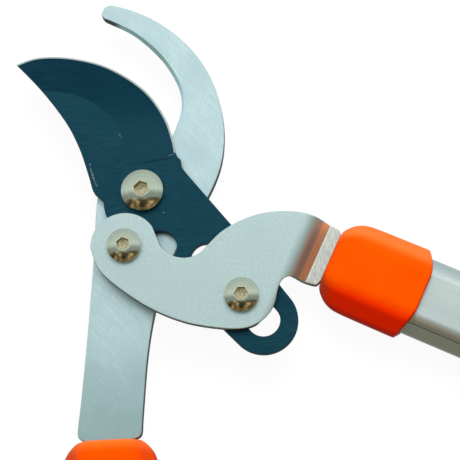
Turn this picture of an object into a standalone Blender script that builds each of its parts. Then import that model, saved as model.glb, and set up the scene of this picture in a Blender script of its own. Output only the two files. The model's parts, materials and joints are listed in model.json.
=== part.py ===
"""Compound bypass loppers, lying flat, as an assembly of separate pieces.

The drawing plane is XY, Z is up and each plate lies flat. In the drawing frame the blade pivot is at
the origin and the fixed handle runs along -Y. A root empty then moves the whole object, so that the
world origin is the bottom centre of its bounding box.

Two empties carry what moves: blade_swing turns the blade about its pivot, and lever_swing turns the
lever plate with its handle about the lever pivot. A pin in the lever runs in a slot in the blade's tail.
"""

import math

import bmesh
import bpy
from mathutils import Matrix, Vector

MM = 0.001

# Heights above the surface that the loppers lie on, in millimetres.
HANDLE_Z = 15.0
HOOK_BOTTOM, HOOK_TOP = 12.5, 17.5
BLADE_BOTTOM, BLADE_TOP = 17.8, 21.5
LEVER_BOTTOM, LEVER_TOP = 21.8, 25.8
LEVER_THICKNESS = LEVER_TOP - LEVER_BOTTOM
GAP = 0.3
HEAD_GAP = 0.2
CHAMFER = 0.35

# Pivots in the drawing frame: the blade turns about the origin.
LEVER_PIVOT = (-7.9, -23.8)
LEVER_ANGLE = -27.0
DRIVE_PIN_UV = (52.4, 0.5)
PIVOT_DISTANCE = math.hypot(*LEVER_PIVOT)

# Screws: head diameter, head height, shank diameter, hex socket across flats and its depth.
M10 = (17.5, 5.5, 10.0, 5.7, 3.3)
M8 = (14.0, 4.4, 8.0, 5.0, 2.7)
# The share of the head's height that its straight rim takes.
HEAD_RIM = 0.4
SCREW_END = 2.4
BORE_CLEARANCE = 0.6
WASHER_RADIUS = {M10: 10.0, M8: 8.0}
WASHER_THICKNESS = 1.6
NUT_ACROSS = {M10: 17.0, M8: 13.0}
NUT_HEIGHT, COLLAR_HEIGHT = 6.6, 1.6
NUT_TURN = 15
PIN_BELOW_NUT = 1.8
SPACER_RADIUS = 5.5

# Blade tail and its slots.
TAIL_ANGLE = -50.4
SLOT_INNER, SLOT_OUTER = 39.6, 73.9
SLOT_HALF_WIDTH = 6.75
TAIL_RADIUS = 14.0
NOTCH_HALF_WIDTH = 7.0
NOTCH_END_ANGLE = -75.4
BEVEL_EDGE_THICKNESS = 0.5
BLADE_CHAMFER = 0.2

# The step that brings the lever plate down to the level of its handle: a soft bend, a slope, a tighter bend.
BEND_START = 62.5
BEND_ANGLE = math.radians(53)
UPPER_BEND, LOWER_BEND = 5.2, 2.2
BEND_DROP = (LEVER_BOTTOM + LEVER_TOP) / 2 - HANDLE_Z

# Handles: distances run backwards from the ferrule's front.
FIXED_HANDLE = (-17.5, -101.8)
LEVER_HANDLE_UV = (78.8, 30.2)
FERRULE_LENGTH = 40.2
TUBE_START, TUBE_END = 5.0, 550.0
INSERT_START, INSERT_END = 8.0, 58.0
TANG_HALF_WIDTH, TANG_END = 8.0, 52.0
RIVETS = (18.0, 34.0)
RIVET_DIAMETER = 5.0
GRIP_START, GRIP_END = 392.0, 556.0
CAP_LENGTH = 6.0
PLUG_START = 528.0
TUBE_WALL = 1.8
TUBE_FACE, TUBE_WIDTH, TUBE_HEIGHT, TUBE_EDGE = 10.9, 16.4, 10.0, 1.5
FACE_RADIUS, EDGE_RADIUS = 5.0, 1.4
HOLLOW_RADIUS, BORE_RADIUS = 4.0, 1.0
GROOVE_DEPTH = 0.35
GROOVE_SPOTS = (0.02, 0.04, 0.08, 0.10)
RIVET_CHAMFER = 0.4


# ---------------------------------------------------------------- scene and materials


def clear_scene():
    for obj in list(bpy.data.objects):
        bpy.data.objects.remove(obj)


def new_collection(name):
    collection = bpy.data.collections.new(name)
    bpy.context.scene.collection.children.link(collection)
    return collection


def material(name, color, metallic, roughness):
    made = bpy.data.materials.new(name)
    made.use_nodes = True
    shader = made.node_tree.nodes["Principled BSDF"]
    shader.inputs["Base Color"].default_value = (*color, 1.0)
    shader.inputs["Metallic"].default_value = metallic
    shader.inputs["Roughness"].default_value = roughness
    made.diffuse_color = (*color, 1.0)
    return made


def hook_steel():
    return material("hook_steel", (0.60, 0.68, 0.69), 0.9, 0.38)


def lever_zinc():
    return material("lever_zinc", (0.56, 0.62, 0.62), 0.85, 0.5)


def blade_coating():
    return material("blade_coating", (0.016, 0.045, 0.066), 0.35, 0.45)


def screw_steel():
    return material("screw_steel", (0.62, 0.56, 0.48), 1.0, 0.22)


def nut_steel():
    return material("nut_steel", (0.55, 0.55, 0.53), 1.0, 0.35)


def bush_brass():
    return material("bush_brass", (0.55, 0.42, 0.2), 1.0, 0.35)


def handle_aluminium():
    return material("handle_aluminium", (0.62, 0.64, 0.62), 0.9, 0.35)


def orange_plastic():
    return material("orange_plastic", (0.90, 0.13, 0.004), 0.0, 0.35)


def insert_plastic():
    return material("insert_plastic", (0.03, 0.03, 0.032), 0.0, 0.6)


def grip_rubber():
    return material("grip_rubber", (0.025, 0.025, 0.027), 0.0, 0.75)


# ---------------------------------------------------------------- objects from meshes


def empty(name, location, parent):
    made = bpy.data.objects.new(name, None)
    made.location = Vector(location) * MM
    made.parent = parent
    made.empty_display_size = 0.02
    BODY.objects.link(made)
    return made


def place(obj, parent, location=(0, 0, 0), angle=0.0):
    """Put the object under its parent, at a place in millimetres in the parent's frame."""
    obj.parent = parent
    obj.location = Vector(location) * MM
    obj.rotation_euler = (0, 0, math.radians(angle))
    return obj


def object_from(name, mesh, look, collection):
    obj = bpy.data.objects.new(name, mesh)
    collection.objects.link(obj)
    if look:
        mesh.materials.clear()
        mesh.materials.append(look)
    return obj


def mesh_from(bm, name):
    bmesh.ops.remove_doubles(bm, verts=bm.verts, dist=1e-6)
    bmesh.ops.recalc_face_normals(bm, faces=bm.faces)
    mesh = bpy.data.meshes.new(name)
    bm.to_mesh(mesh)
    bm.free()
    return mesh


def smooth(obj, degrees):
    mesh = obj.data
    mesh.shade_smooth()
    mesh.set_sharp_from_angle(angle=math.radians(degrees))


def boolean(obj, cutter, operation="DIFFERENCE"):
    modifier = obj.modifiers.new(operation.lower() + "_" + cutter.name, "BOOLEAN")
    modifier.operation = operation
    modifier.solver = "EXACT"
    modifier.object = cutter


def as_cutter(obj):
    obj.display_type = "WIRE"
    obj.hide_render = True
    return obj


def evaluated_mesh(obj):
    graph = bpy.context.evaluated_depsgraph_get()
    return bpy.data.meshes.new_from_object(obj.evaluated_get(graph))


# ---------------------------------------------------------------- flat plates


def arc(center, radius, start, end, count):
    """Points on an arc, angles in degrees."""
    points = []
    for i in range(count):
        angle = math.radians(start + (end - start) * i / (count - 1))
        points.append((center[0] + radius * math.cos(angle), center[1] + radius * math.sin(angle)))
    return points


def polar(radius, degrees):
    return (radius * math.cos(math.radians(degrees)), radius * math.sin(math.radians(degrees)))


def smooth_line(points, steps=2):
    """Points on a smooth curve through the given points (Catmull-Rom)."""
    padded = [points[0]] + list(points) + [points[-1]]
    line = []
    for p0, p1, p2, p3 in zip(padded, padded[1:], padded[2:], padded[3:]):
        for i in range(steps):
            t = i / steps
            line.append(tuple(catmull_rom(a, b, c, d, t) for a, b, c, d in zip(p0, p1, p2, p3)))
    return line + [tuple(points[-1])]


def catmull_rom(a, b, c, d, t):
    return 0.5 * (2 * b + (c - a) * t + (2 * a - 5 * b + 4 * c - d) * t**2 + (3 * b - a - 3 * c + d) * t**3)


def add_spline(curve, points):
    spline = curve.splines.new("POLY")
    spline.points.add(len(points) - 1)
    for point, (x, y) in zip(spline.points, points):
        point.co = (x * MM, y * MM, 0, 1)
    spline.use_cyclic_u = True


def plate(name, outline, holes, thickness, look, chamfer):
    """A flat plate with chamfered edges and holes right through, centred on z = 0."""
    curve = bpy.data.curves.new(name, "CURVE")
    curve.dimensions = "2D"
    curve.fill_mode = "BOTH"
    add_spline(curve, outline)
    for hole in holes:
        add_spline(curve, hole)
    curve.extrude = (thickness / 2 - chamfer) * MM
    curve.bevel_depth = chamfer * MM
    curve.bevel_resolution = 0
    curve.offset = -chamfer * MM
    helper = bpy.data.objects.new(name + "_curve", curve)
    CUTTERS.objects.link(helper)
    mesh = evaluated_mesh(helper)
    bm = bmesh.new()
    bm.from_mesh(mesh)
    obj = object_from(name, mesh_from(bm, name), look, BODY)
    bpy.data.objects.remove(helper)
    bpy.data.curves.remove(curve)
    bpy.data.meshes.remove(mesh)
    return obj


def circle(center, radius, count=20):
    return arc(center, radius, 0, 360, count + 1)[:-1]


def slot_outline(inner, outer, half_width, degrees):
    """A straight slot along a ray from the origin."""
    ends = arc(polar(outer, degrees), half_width, degrees - 90, degrees + 90, 13)
    return ends + arc(polar(inner, degrees), half_width, degrees + 90, degrees + 270, 13)


# ---------------------------------------------------------------- turned pieces


def turned(name, profile, look, steps, collection):
    """A solid or ring turned about Z. The profile runs down its outer side, from top to bottom."""
    bm = bmesh.new()
    verts = [bm.verts.new((r * MM, 0, z * MM)) for r, z in profile]
    for a, b in zip(verts, verts[1:]):
        bm.edges.new((a, b))
    if profile[0][0] > 0 and profile[-1][0] > 0:
        bm.edges.new((verts[-1], verts[0]))
    mesh = bpy.data.meshes.new(name)
    bm.to_mesh(mesh)
    bm.free()
    obj = object_from(name, mesh, look, collection)
    screw = obj.modifiers.new("turn", "SCREW")
    screw.steps = steps
    screw.render_steps = steps
    screw.use_merge_vertices = True
    screw.merge_threshold = 0.00001
    screw.use_normal_calculate = True
    solid = evaluated_mesh(obj)
    bpy.data.objects.remove(obj)
    bm = bmesh.new()
    bm.from_mesh(solid)
    bpy.data.meshes.remove(solid)
    obj = object_from(name, mesh_from(bm, name), look, collection)
    smooth(obj, 40)
    return obj


def ring(name, inner, outer, bottom, top, look):
    chamfer = 0.25
    profile = [(inner, top), (outer - chamfer, top), (outer, top - chamfer), (outer, bottom), (inner, bottom)]
    return turned(name, profile, look, 20, BODY)


def column(name, radius, sides, bottom, top, look, collection):
    """An upright prism with its corners at the given radius."""
    bm = bmesh.new()
    height = (top - bottom) * MM
    middle = Matrix.Translation((0, 0, (bottom + top) / 2 * MM))
    ends = {"radius1": radius * MM, "radius2": radius * MM, "depth": height}
    bmesh.ops.create_cone(bm, cap_ends=True, segments=sides, matrix=middle, **ends)
    return object_from(name, mesh_from(bm, name), look, collection)


def hexagon(name, across, bottom, top, look, collection):
    """A hexagonal prism, its size given across the flats."""
    return column(name, across / math.sqrt(3), 6, bottom, top, look, collection)


def bore(obj, radius, bottom, top, parent, location, sides=24):
    cutter = column(obj.name + "_bore", radius, sides, bottom, top, None, CUTTERS)
    place(as_cutter(cutter), parent, (*location, 0))
    boolean(obj, cutter)


def button_screw(name, size, seat, end, parent, location, turn):
    """A button-head screw: a domed head with a hex socket, and a shank down to `end`."""
    head, height, shank, socket, depth = size
    top = seat + height
    flat = socket * 0.62
    profile = [(0, top), (flat, top - 0.05)]
    for i in range(5):
        quarter = i / 4 * math.pi / 2
        radius = head / 2 * math.sin(quarter)
        if radius > flat + 0.5:
            rise = HEAD_RIM + (1 - HEAD_RIM) * math.cos(quarter) ** 0.8
            profile.append((radius, seat + height * rise))
    profile += [(head / 2, seat + 0.3), (head / 2 - 0.3, seat), (shank / 2, seat)]
    profile += [(shank / 2, end + 0.8), (shank / 2 - 0.8, end), (0, end)]
    obj = turned(name, profile, SCREW_STEEL, 24, BODY)
    place(obj, parent, (*location, 0), turn)
    socket_cutter = as_cutter(hexagon(name + "_socket", socket, top - depth, top + 1, None, CUTTERS))
    place(socket_cutter, parent, (*location, 0), turn)
    boolean(obj, socket_cutter)


def nut(name, across, bore_radius, bottom, top, parent, location):
    """A lock nut: a hexagon with chamfered corners, a bore right through and a round collar below."""
    middle = bottom + COLLAR_HEIGHT
    obj = hexagon(name, across, middle, top, NUT_STEEL, BODY)
    place(obj, parent, (*location, 0), NUT_TURN)
    reach = across / math.sqrt(3) + 0.1
    shape = [(0, top + 0.01), (reach, top + 0.01), (reach, middle + 0.9)]
    shape += [(across / 2 - 0.1, middle - 0.01), (0, middle - 0.01)]
    trim = as_cutter(turned(name + "_trim", shape, None, 24, CUTTERS))
    place(trim, parent, (*location, 0))
    boolean(obj, trim, "INTERSECT")
    edge = across / 2 - 0.6
    body = [(0, middle + 0.5), (edge, middle + 0.5), (edge, bottom + 0.6), (edge - 0.6, bottom), (0, bottom)]
    collar = as_cutter(turned(name + "_collar", body, None, 24, CUTTERS))
    place(collar, parent, (*location, 0))
    boolean(obj, collar, "UNION")
    bore(obj, bore_radius, bottom - 2, top + 2, parent, location)


def fasteners(prefix, size, seat, end, underside, parent, location, turn):
    """A pivot's screw with its washer and lock nut, which bear on the underside of the lowest plate."""
    shank = size[2]
    washer_top = underside - GAP
    nut_top = washer_top - WASHER_THICKNESS - GAP
    button_screw(prefix + "_screw", size, seat, end, parent, location, turn)
    washer_bottom = washer_top - WASHER_THICKNESS
    outer = WASHER_RADIUS[size]
    washer = ring(prefix + "_washer", shank / 2 + GAP, outer, washer_bottom, washer_top, NUT_STEEL)
    place(washer, parent, (*location, 0))
    bore_radius = (shank + BORE_CLEARANCE) / 2
    nut(prefix + "_nut", NUT_ACROSS[size], bore_radius, nut_top - NUT_HEIGHT, nut_top, parent, location)


# ---------------------------------------------------------------- hook plate


def hook_outline():
    tang_left = FIXED_HANDLE[0] - TANG_HALF_WIDTH
    tang_right = FIXED_HANDLE[0] + TANG_HALF_WIDTH
    shoulder = FIXED_HANDLE[1] + GAP
    tang_end = FIXED_HANDLE[1] - TANG_END
    tip = [(-14.2, 79.2), (-15.5, 81.5), (-13.5, 84.6), (-9.6, 84.7)]
    back = [(0.0, 81.0), (9.0, 75.6), (17.0, 68.8), (23.7, 60.9), (29.0, 51.8), (32.6, 41.9), (34.5, 31.6)]
    back += [(34.6, 21.2), (32.9, 11.0), (29.2, 1.6), (23.6, -8.0), (17.0, -17.5), (11.2, -27.5)]
    bar_right = [(6.6, -38.0), (2.9, -49.8), (0.5, -60.0), (-1.2, -70.2), (-2.4, -80.0), (-3.9, -94.0)]
    right_corner = [(-4.3, -98.4), (-5.2, -100.5), (-7.4, shoulder)]
    tang = [(tang_right, shoulder), (tang_right, tang_end + 3), (tang_right - 3, tang_end)]
    tang += [(tang_left + 3, tang_end), (tang_left, tang_end + 3), (tang_left, shoulder)]
    left_corner = [(-27.4, shoulder), (-29.4, -100.5), (-30.2, -98.4), (-29.8, -94.0)]
    bar_left = [(-28.3, -83.5), (-25.6, -61.7), (-23.6, -43.6), (-22.0, -28.3), (-20.9, -14.0), (-19.8, -2.0)]
    boss = [(-18.0, 6.0), (-12.5, 12.6), (-4.5, 16.2), (4.5, 18.2)]
    inner = [(11.5, 23.4), (15.2, 30.0), (17.3, 38.2), (15.9, 47.6), (9.1, 60.2), (-1.9, 71.8)]
    right_side = smooth_line(tip + back + bar_right + right_corner)
    left_side = smooth_line(left_corner + bar_left + boss + inner + [tip[0]])
    return right_side + tang + left_side[:-1]


def hook_plate():
    holes = [circle((0, 0), (M10[2] + BORE_CLEARANCE) / 2), circle(LEVER_PIVOT, (M8[2] + BORE_CLEARANCE) / 2)]
    for distance in RIVETS:
        center = (FIXED_HANDLE[0], FIXED_HANDLE[1] - distance)
        holes.append(circle(center, RIVET_DIAMETER / 2 + GAP))
    obj = plate("hook_plate", hook_outline(), holes, HOOK_TOP - HOOK_BOTTOM, HOOK_STEEL, CHAMFER)
    place(obj, ROOT, (0, 0, (HOOK_TOP + HOOK_BOTTOM) / 2))


# ---------------------------------------------------------------- blade

CUTTING_EDGE = [(-43.2, 63.3), (-28.9, 62.1), (-13.1, 56.7), (1.6, 45.8), (10.0, 33.1), (13.4, 22.0)]
BLADE_TIP = (-52.8, 60.8)
BLADE_HEEL = (14.2, 16.0)
BEVEL_LINE = [(-45.0, 47.5), (-38.0, 46.6), (-27.2, 44.1), (-18.8, 39.5), (-11.8, 32.8), (-8.6, 27.3)]
BEVEL_LINE += [(-6.8, 20.5), (-5.9, 11.0)]


def blade_outline():
    inner = PIVOT_DISTANCE - NOTCH_HALF_WIDTH
    shoulder = [(15.3, 13.6), (16.3, 12.6), (16.7, 9.4), (20.0, 4.6)]
    tail_end = arc(polar(SLOT_OUTER, TAIL_ANGLE), TAIL_RADIUS, TAIL_ANGLE + 82, TAIL_ANGLE - 90, 17)
    cap_center = polar(PIVOT_DISTANCE, NOTCH_END_ANGLE)
    nose = [(8.6, -35.8), (5.3, -33.9), (3.9, -32.4)]
    cap = arc(cap_center, NOTCH_HALF_WIDTH, -103, NOTCH_END_ANGLE + 180, 14)
    boss = arc((0, 0), inner, NOTCH_END_ANGLE - 12, -150, 5)
    neck = [(-16.6, -3.6), (-18.6, -0.9), (-20.6, 1.4)]
    back = [(-22.6, 9.0), (-26.0, 20.5), (-31.8, 33.1), (-41.8, 47.8)]
    edge = smooth_line([BLADE_TIP] + CUTTING_EDGE + [BLADE_HEEL], 3)
    right_side = smooth_line(shoulder) + [(35.9, -16.4)]
    left_side = smooth_line(boss + neck + back + [BLADE_TIP])
    return edge + right_side + tail_end + smooth_line(nose) + cap[:-1] + left_side[:-1]


def edge_bevel():
    """The wedge that the ground bevel leaves out: it follows the cutting edge, thin at the edge."""
    edge = [BLADE_TIP] + CUTTING_EDGE + [BLADE_HEEL]
    bm = bmesh.new()
    low = BLADE_BOTTOM + BEVEL_EDGE_THICKNESS
    beyond, inside, above = 3.0, 0.6, 3.0
    rows = []
    for outer, inner in zip(smooth_line(edge, 3), smooth_line(BEVEL_LINE, 3)):
        outward = Vector(outer) - Vector(inner)
        slope = (BLADE_TOP - low) / outward.length
        far = Vector(outer) + outward.normalized() * beyond
        near = Vector(inner) - outward.normalized() * inside
        corners = [(*far, low - beyond * slope), (*near, BLADE_TOP + inside * slope)]
        corners += [(*near, BLADE_TOP + above), (*far, BLADE_TOP + above)]
        rows.append([bm.verts.new(Vector(corner) * MM) for corner in corners])
    for first, second in zip(rows, rows[1:]):
        for i in range(4):
            bm.faces.new((first[i], first[(i + 1) % 4], second[(i + 1) % 4], second[i]))
    bm.faces.new(rows[0])
    bm.faces.new(rows[-1][::-1])
    bmesh.ops.triangulate(bm, faces=bm.faces)
    return as_cutter(object_from("edge_bevel", mesh_from(bm, "edge_bevel"), None, CUTTERS))


def blade():
    holes = [
        circle((0, 0), (M10[2] + BORE_CLEARANCE) / 2),
        slot_outline(SLOT_INNER, SLOT_OUTER, SLOT_HALF_WIDTH, TAIL_ANGLE),
    ]
    obj = plate("blade", blade_outline(), holes, BLADE_TOP - BLADE_BOTTOM, BLADE_COATING, BLADE_CHAMFER)
    place(obj, BLADE_SWING, (0, 0, (BLADE_TOP + BLADE_BOTTOM) / 2))
    boolean(obj, place(edge_bevel(), BLADE_SWING))


# ---------------------------------------------------------------- lever plate


def lever_outline():
    tang_low = LEVER_HANDLE_UV[1] - TANG_HALF_WIDTH
    tang_high = LEVER_HANDLE_UV[1] + TANG_HALF_WIDTH
    shoulder = LEVER_HANDLE_UV[0] - GAP
    tang_end = LEVER_HANDLE_UV[0] + TANG_END
    boss = arc((0, 0), 14.0, 205, 60, 17)
    waist = [(10.6, 8.7), (14.2, 5.6), (19.4, 4.3), (25.2, 5.7), (29.4, 9.6), (31.3, 14.6)]
    crown = [(34.2, 21.8), (39.8, 29.3), (47.0, 35.6), (55.6, 40.0), (63.0, 42.1), (69.5, 43.0)]
    high_corner = [(75.2, 43.0), (77.6, 42.2), (shoulder, 39.9)]
    tang = [(shoulder, tang_high), (tang_end - 3, tang_high), (tang_end, tang_high - 3)]
    tang += [(tang_end, tang_low + 3), (tang_end - 3, tang_low), (shoulder, tang_low)]
    low_corner = [(shoulder, 20.4), (77.6, 18.1), (75.2, 17.3)]
    throat = [(69.0, 16.7), (65.9, 15.6), (64.3, 13.0), (64.2, 9.0)]
    nose = [(65.0, 3.4), (64.9, -1.4), (62.9, -7.4), (58.2, -11.8), (49.7, -15.3)]
    belly = [(36.4, -18.6), (21.8, -19.2), (6.0, -16.8), (-5.5, -12.9)]
    upper_side = boss[:-1] + smooth_line([boss[-1]] + waist + crown + high_corner)
    lower_side = smooth_line(low_corner + throat + nose + belly + [boss[0]])
    return upper_side + tang + lower_side[:-1]


def bend_lengths():
    """How far the soft bend, the slope and the tighter bend each reach along the lever plate."""
    fall = (UPPER_BEND + LOWER_BEND) * (1 - math.cos(BEND_ANGLE))
    slope = (BEND_DROP - fall) / math.tan(BEND_ANGLE)
    return UPPER_BEND * math.sin(BEND_ANGLE), slope, LOWER_BEND * math.sin(BEND_ANGLE)


def bend(u):
    """Height and slope of the middle of the lever plate at a distance u along it."""
    upper, slope, lower = bend_lengths()
    x = u - BEND_START
    left = upper + slope + lower - x
    if x <= 0:
        return 0.0, 0.0
    if x < upper:
        angle = math.asin(x / UPPER_BEND)
        return -UPPER_BEND * (1 - math.cos(angle)), angle
    if left >= lower:
        fall = UPPER_BEND * (1 - math.cos(BEND_ANGLE))
        return -fall - (x - upper) * math.tan(BEND_ANGLE), BEND_ANGLE
    if left > 0:
        angle = math.asin(left / LOWER_BEND)
        return -BEND_DROP + LOWER_BEND * (1 - math.cos(angle)), angle
    return -BEND_DROP, 0.0


def bend_plate(mesh):
    """Cut the flat plate across at the bends, then lay it over the step without changing its thickness."""
    end = BEND_START + sum(bend_lengths())
    bm = bmesh.new()
    bm.from_mesh(mesh)
    for share in (0, 1 / 3, 2 / 3, 1):
        sine = math.sin(BEND_ANGLE * share)
        for u in (BEND_START + UPPER_BEND * sine, end - LOWER_BEND * sine):
            geometry = bm.verts[:] + bm.edges[:] + bm.faces[:]
            bmesh.ops.bisect_plane(bm, geom=geometry, dist=1e-7, plane_co=(u * MM, 0, 0), plane_no=(1, 0, 0))
    for vert in bm.verts:
        height, angle = bend(vert.co.x / MM)
        offset = vert.co.z
        vert.co.x += offset * math.sin(angle)
        vert.co.z = height * MM + offset * math.cos(angle)
    bm.to_mesh(mesh)
    bm.free()


def lever_plate():
    holes = [circle((0, 0), (M8[2] + BORE_CLEARANCE) / 2), circle(DRIVE_PIN_UV, (M8[2] + BORE_CLEARANCE) / 2)]
    for distance in RIVETS:
        center = (LEVER_HANDLE_UV[0] + distance, LEVER_HANDLE_UV[1])
        holes.append(circle(center, RIVET_DIAMETER / 2 + GAP))
    obj = plate("lever_plate", lever_outline(), holes, LEVER_THICKNESS, LEVER_ZINC, CHAMFER)
    bend_plate(obj.data)
    place(obj, LEVER_SWING, (0, 0, (LEVER_TOP + LEVER_BOTTOM) / 2), LEVER_ANGLE)
    smooth(obj, 24)


# ---------------------------------------------------------------- handle pieces

# Distance from the ferrule's front, half width of the flat face, half width, half height, corner radius.
FERRULE_STATIONS = (
    (0.0, 8.6, 12.6, 8.6, 5.0),
    (1.2, 10.0, 14.5, 10.3, 6.2),
    (4.5, 11.2, 17.3, 12.2, 8.0),
    (9.5, 11.3, 19.0, 13.2, 9.2),
    (FERRULE_LENGTH - 3.0, 11.3, 19.5, 13.5, 9.5),
    (FERRULE_LENGTH - 0.8, 11.0, 19.0, 13.1, 9.0),
    (FERRULE_LENGTH, 10.5, 18.2, 12.4, 8.4),
)

# Distance, half width, half height and corner radius of the grip's ends and of the end cap.
GRIP_WIDTH, GRIP_SWELL, GRIP_RADIUS = 18.8, 1.2, 10.5
GRIP_FRONT = (
    (GRIP_START, 18.0, 12.0, 8.0),
    (GRIP_START + 2.5, 20.0, 14.0, 9.5),
    (GRIP_START + 9, 21.0, HANDLE_Z, GRIP_RADIUS),
    (GRIP_START + 16, 19.5, HANDLE_Z, GRIP_RADIUS),
)
GRIP_BACK = (
    (GRIP_END - 10, 20.5, HANDLE_Z, GRIP_RADIUS),
    (GRIP_END - 2, 21.5, HANDLE_Z, GRIP_RADIUS),
    (GRIP_END, 21.0, 14.5, 10.0),
)
CAP_STATIONS = (
    (0.0, 20.6, 14.4, 10.0),
    (0.6, 21.2, HANDLE_Z, GRIP_RADIUS),
    (CAP_LENGTH - 2.4, 20.9, 14.8, GRIP_RADIUS),
    (CAP_LENGTH - 0.7, 19.6, 13.6, 9.6),
    (CAP_LENGTH, 17.6, 11.8, 8.2),
)


def fillet(corners, radii, steps):
    """A closed polygon with each corner rounded to an arc. The radii repeat round the polygon."""
    points = []
    count = len(corners)
    for i, corner in enumerate(corners):
        radius = radii[i % len(radii)]
        here = Vector(corner)
        before = (Vector(corners[i - 1]) - here).normalized()
        after = (Vector(corners[(i + 1) % count]) - here).normalized()
        half = before.angle(after) / 2
        length = radius / math.tan(half)
        center = here + (before + after).normalized() * radius / math.sin(half)
        start = here + before * length - center
        end = here + after * length - center
        for k in range(steps + 1):
            points.append(tuple(center + start.slerp(end, k / steps).normalized() * radius))
    return points


def rounded_rectangle(half_width, half_height, radius, steps=3):
    corners = [(half_width, half_height), (-half_width, half_height)]
    corners += [(-half_width, -half_height), (half_width, -half_height)]
    return fillet(corners, (radius,), steps)


def oval(face, width, height, edge, face_radius, edge_radius):
    """The oval section of the handles: flat above and below, sloping flanks and narrow sides."""
    corners = [(face, height), (-face, height), (-width, edge), (-width, -edge)]
    corners += [(-face, -height), (face, -height), (width, -edge), (width, edge)]
    return fillet(corners, (face_radius, face_radius, edge_radius, edge_radius), 3)


def tube_section(grow, radius):
    """The section of the handle tubes, grown or shrunk all round."""
    face = TUBE_FACE + 0.564 * grow
    edge = TUBE_EDGE + 0.28 * grow
    return oval(face, TUBE_WIDTH + grow, TUBE_HEIGHT + grow, edge, radius, min(radius, EDGE_RADIUS))


def loft(name, rings, look, collection):
    """A solid through rings of equal count. Each ring is (distance along the handle, points)."""
    bm = bmesh.new()
    rows = []
    for distance, points in rings:
        rows.append([bm.verts.new((distance * MM, y * MM, z * MM)) for y, z in points])
    for first, second in zip(rows, rows[1:]):
        for i in range(len(first)):
            j = (i + 1) % len(first)
            bm.faces.new((first[i], first[j], second[j], second[i]))
    bm.faces.new(rows[0][::-1])
    bm.faces.new(rows[-1])
    return object_from(name, mesh_from(bm, name), look, collection)


def handle_piece(name, rings, look, frame):
    obj = loft(name, rings, look, BODY)
    obj.parent = frame
    return obj


def bar_cutter(name, points, start, end, frame):
    """A straight bar along the handle, to cut with or to join on."""
    cutter = as_cutter(loft(name, [(start, points), (end, points)], None, CUTTERS))
    cutter.parent = frame
    return cutter


def ferrule(name, frame, tang_thickness):
    rings = []
    for distance, face, width, height, radius in FERRULE_STATIONS:
        rings.append((distance, oval(face, width, height, height * 0.2, radius, radius * 0.75)))
    obj = handle_piece(name, rings, ORANGE_PLASTIC, frame)
    hollow = tube_section(GAP, HOLLOW_RADIUS)
    boolean(obj, bar_cutter(name + "_hollow", hollow, TUBE_START - GAP, FERRULE_LENGTH + 2, frame))
    mouth = rounded_rectangle(TANG_HALF_WIDTH + GAP, tang_thickness / 2 + GAP, 0.8, 2)
    boolean(obj, bar_cutter(name + "_mouth", mouth, -2, TUBE_START + 2, frame))
    smooth(obj, 30)


def rivet_holes(obj, frame):
    for distance in RIVETS:
        bore(obj, RIVET_DIAMETER / 2 + GAP, -HANDLE_Z, HANDLE_Z, frame, (distance, 0), 16)


def tube(name, frame):
    section = grooved_section()
    obj = handle_piece(name, [(TUBE_START, section), (TUBE_END, section)], HANDLE_ALUMINIUM, frame)
    inner = tube_section(-TUBE_WALL, BORE_RADIUS)
    boolean(obj, bar_cutter(name + "_hollow", inner, TUBE_START - 2, TUBE_END + 2, frame))
    rivet_holes(obj, frame)
    smooth(obj, 30)


def grooved_section():
    """The tube's outside, with a fine groove at the upper end of each flank."""
    section = tube_section(0, FACE_RADIUS)
    points = []
    for here, there in zip(section, section[1:] + section[:1]):
        points.append(here)
        flank = abs(there[0] - here[0]) > 2 and abs(there[1] - here[1]) > 4
        if not flank:
            continue
        falling = abs(here[1]) > abs(there[1])
        spots = GROOVE_SPOTS if falling else [1 - spot for spot in reversed(GROOVE_SPOTS)]
        inward = -Vector(here).normalized() * GROOVE_DEPTH
        for spot, depth in zip(spots, (0, 1, 1, 0)):
            points.append(tuple(Vector(here).lerp(Vector(there), spot) + inward * depth))
    return points


def insert(name, frame, tang_thickness):
    section = tube_section(-TUBE_WALL - 0.2, BORE_RADIUS)
    obj = handle_piece(name, [(INSERT_START, section), (INSERT_END, section)], INSERT_PLASTIC, frame)
    slot = rounded_rectangle(TANG_HALF_WIDTH + GAP, tang_thickness / 2 + GAP, 0.5, 1)
    boolean(obj, bar_cutter(name + "_slot", slot, INSERT_START - 2, INSERT_END + 2, frame))
    rivet_holes(obj, frame)
    smooth(obj, 30)


def rivet(name, frame, distance):
    radius, half = RIVET_DIAMETER / 2, TUBE_HEIGHT - 0.1
    profile = [(0, half), (radius - RIVET_CHAMFER, half), (radius, half - RIVET_CHAMFER)]
    profile += [(radius, RIVET_CHAMFER - half), (radius - RIVET_CHAMFER, -half), (0, -half)]
    place(turned(name, profile, NUT_STEEL, 16, BODY), frame, (distance, 0, 0))


def grip(name, frame):
    stations = list(GRIP_FRONT)
    for share in (0, 1 / 3, 2 / 3, 1):
        width = GRIP_WIDTH + GRIP_SWELL * math.sin(math.pi * share)
        distance = GRIP_START + 30 + share * (GRIP_END - GRIP_START - 52)
        stations.append((distance, width, HANDLE_Z, GRIP_RADIUS))
    stations += GRIP_BACK
    rings = [(distance, rounded_rectangle(*size)) for distance, *size in stations]
    obj = handle_piece(name, rings, GRIP_RUBBER, frame)
    hollow = tube_section(GAP, HOLLOW_RADIUS)
    boolean(obj, bar_cutter(name + "_hollow", hollow, GRIP_START - 2, GRIP_END + 2, frame))
    smooth(obj, 30)


def end_cap(name, frame):
    start = GRIP_END + GAP
    rings = [(start + distance, rounded_rectangle(*size)) for distance, *size in CAP_STATIONS]
    obj = handle_piece(name, rings, ORANGE_PLASTIC, frame)
    plug = tube_section(-TUBE_WALL - GAP, BORE_RADIUS)
    boolean(obj, bar_cutter(name + "_plug", plug, PLUG_START, start + 1.5, frame), "UNION")
    smooth(obj, 30)


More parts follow.
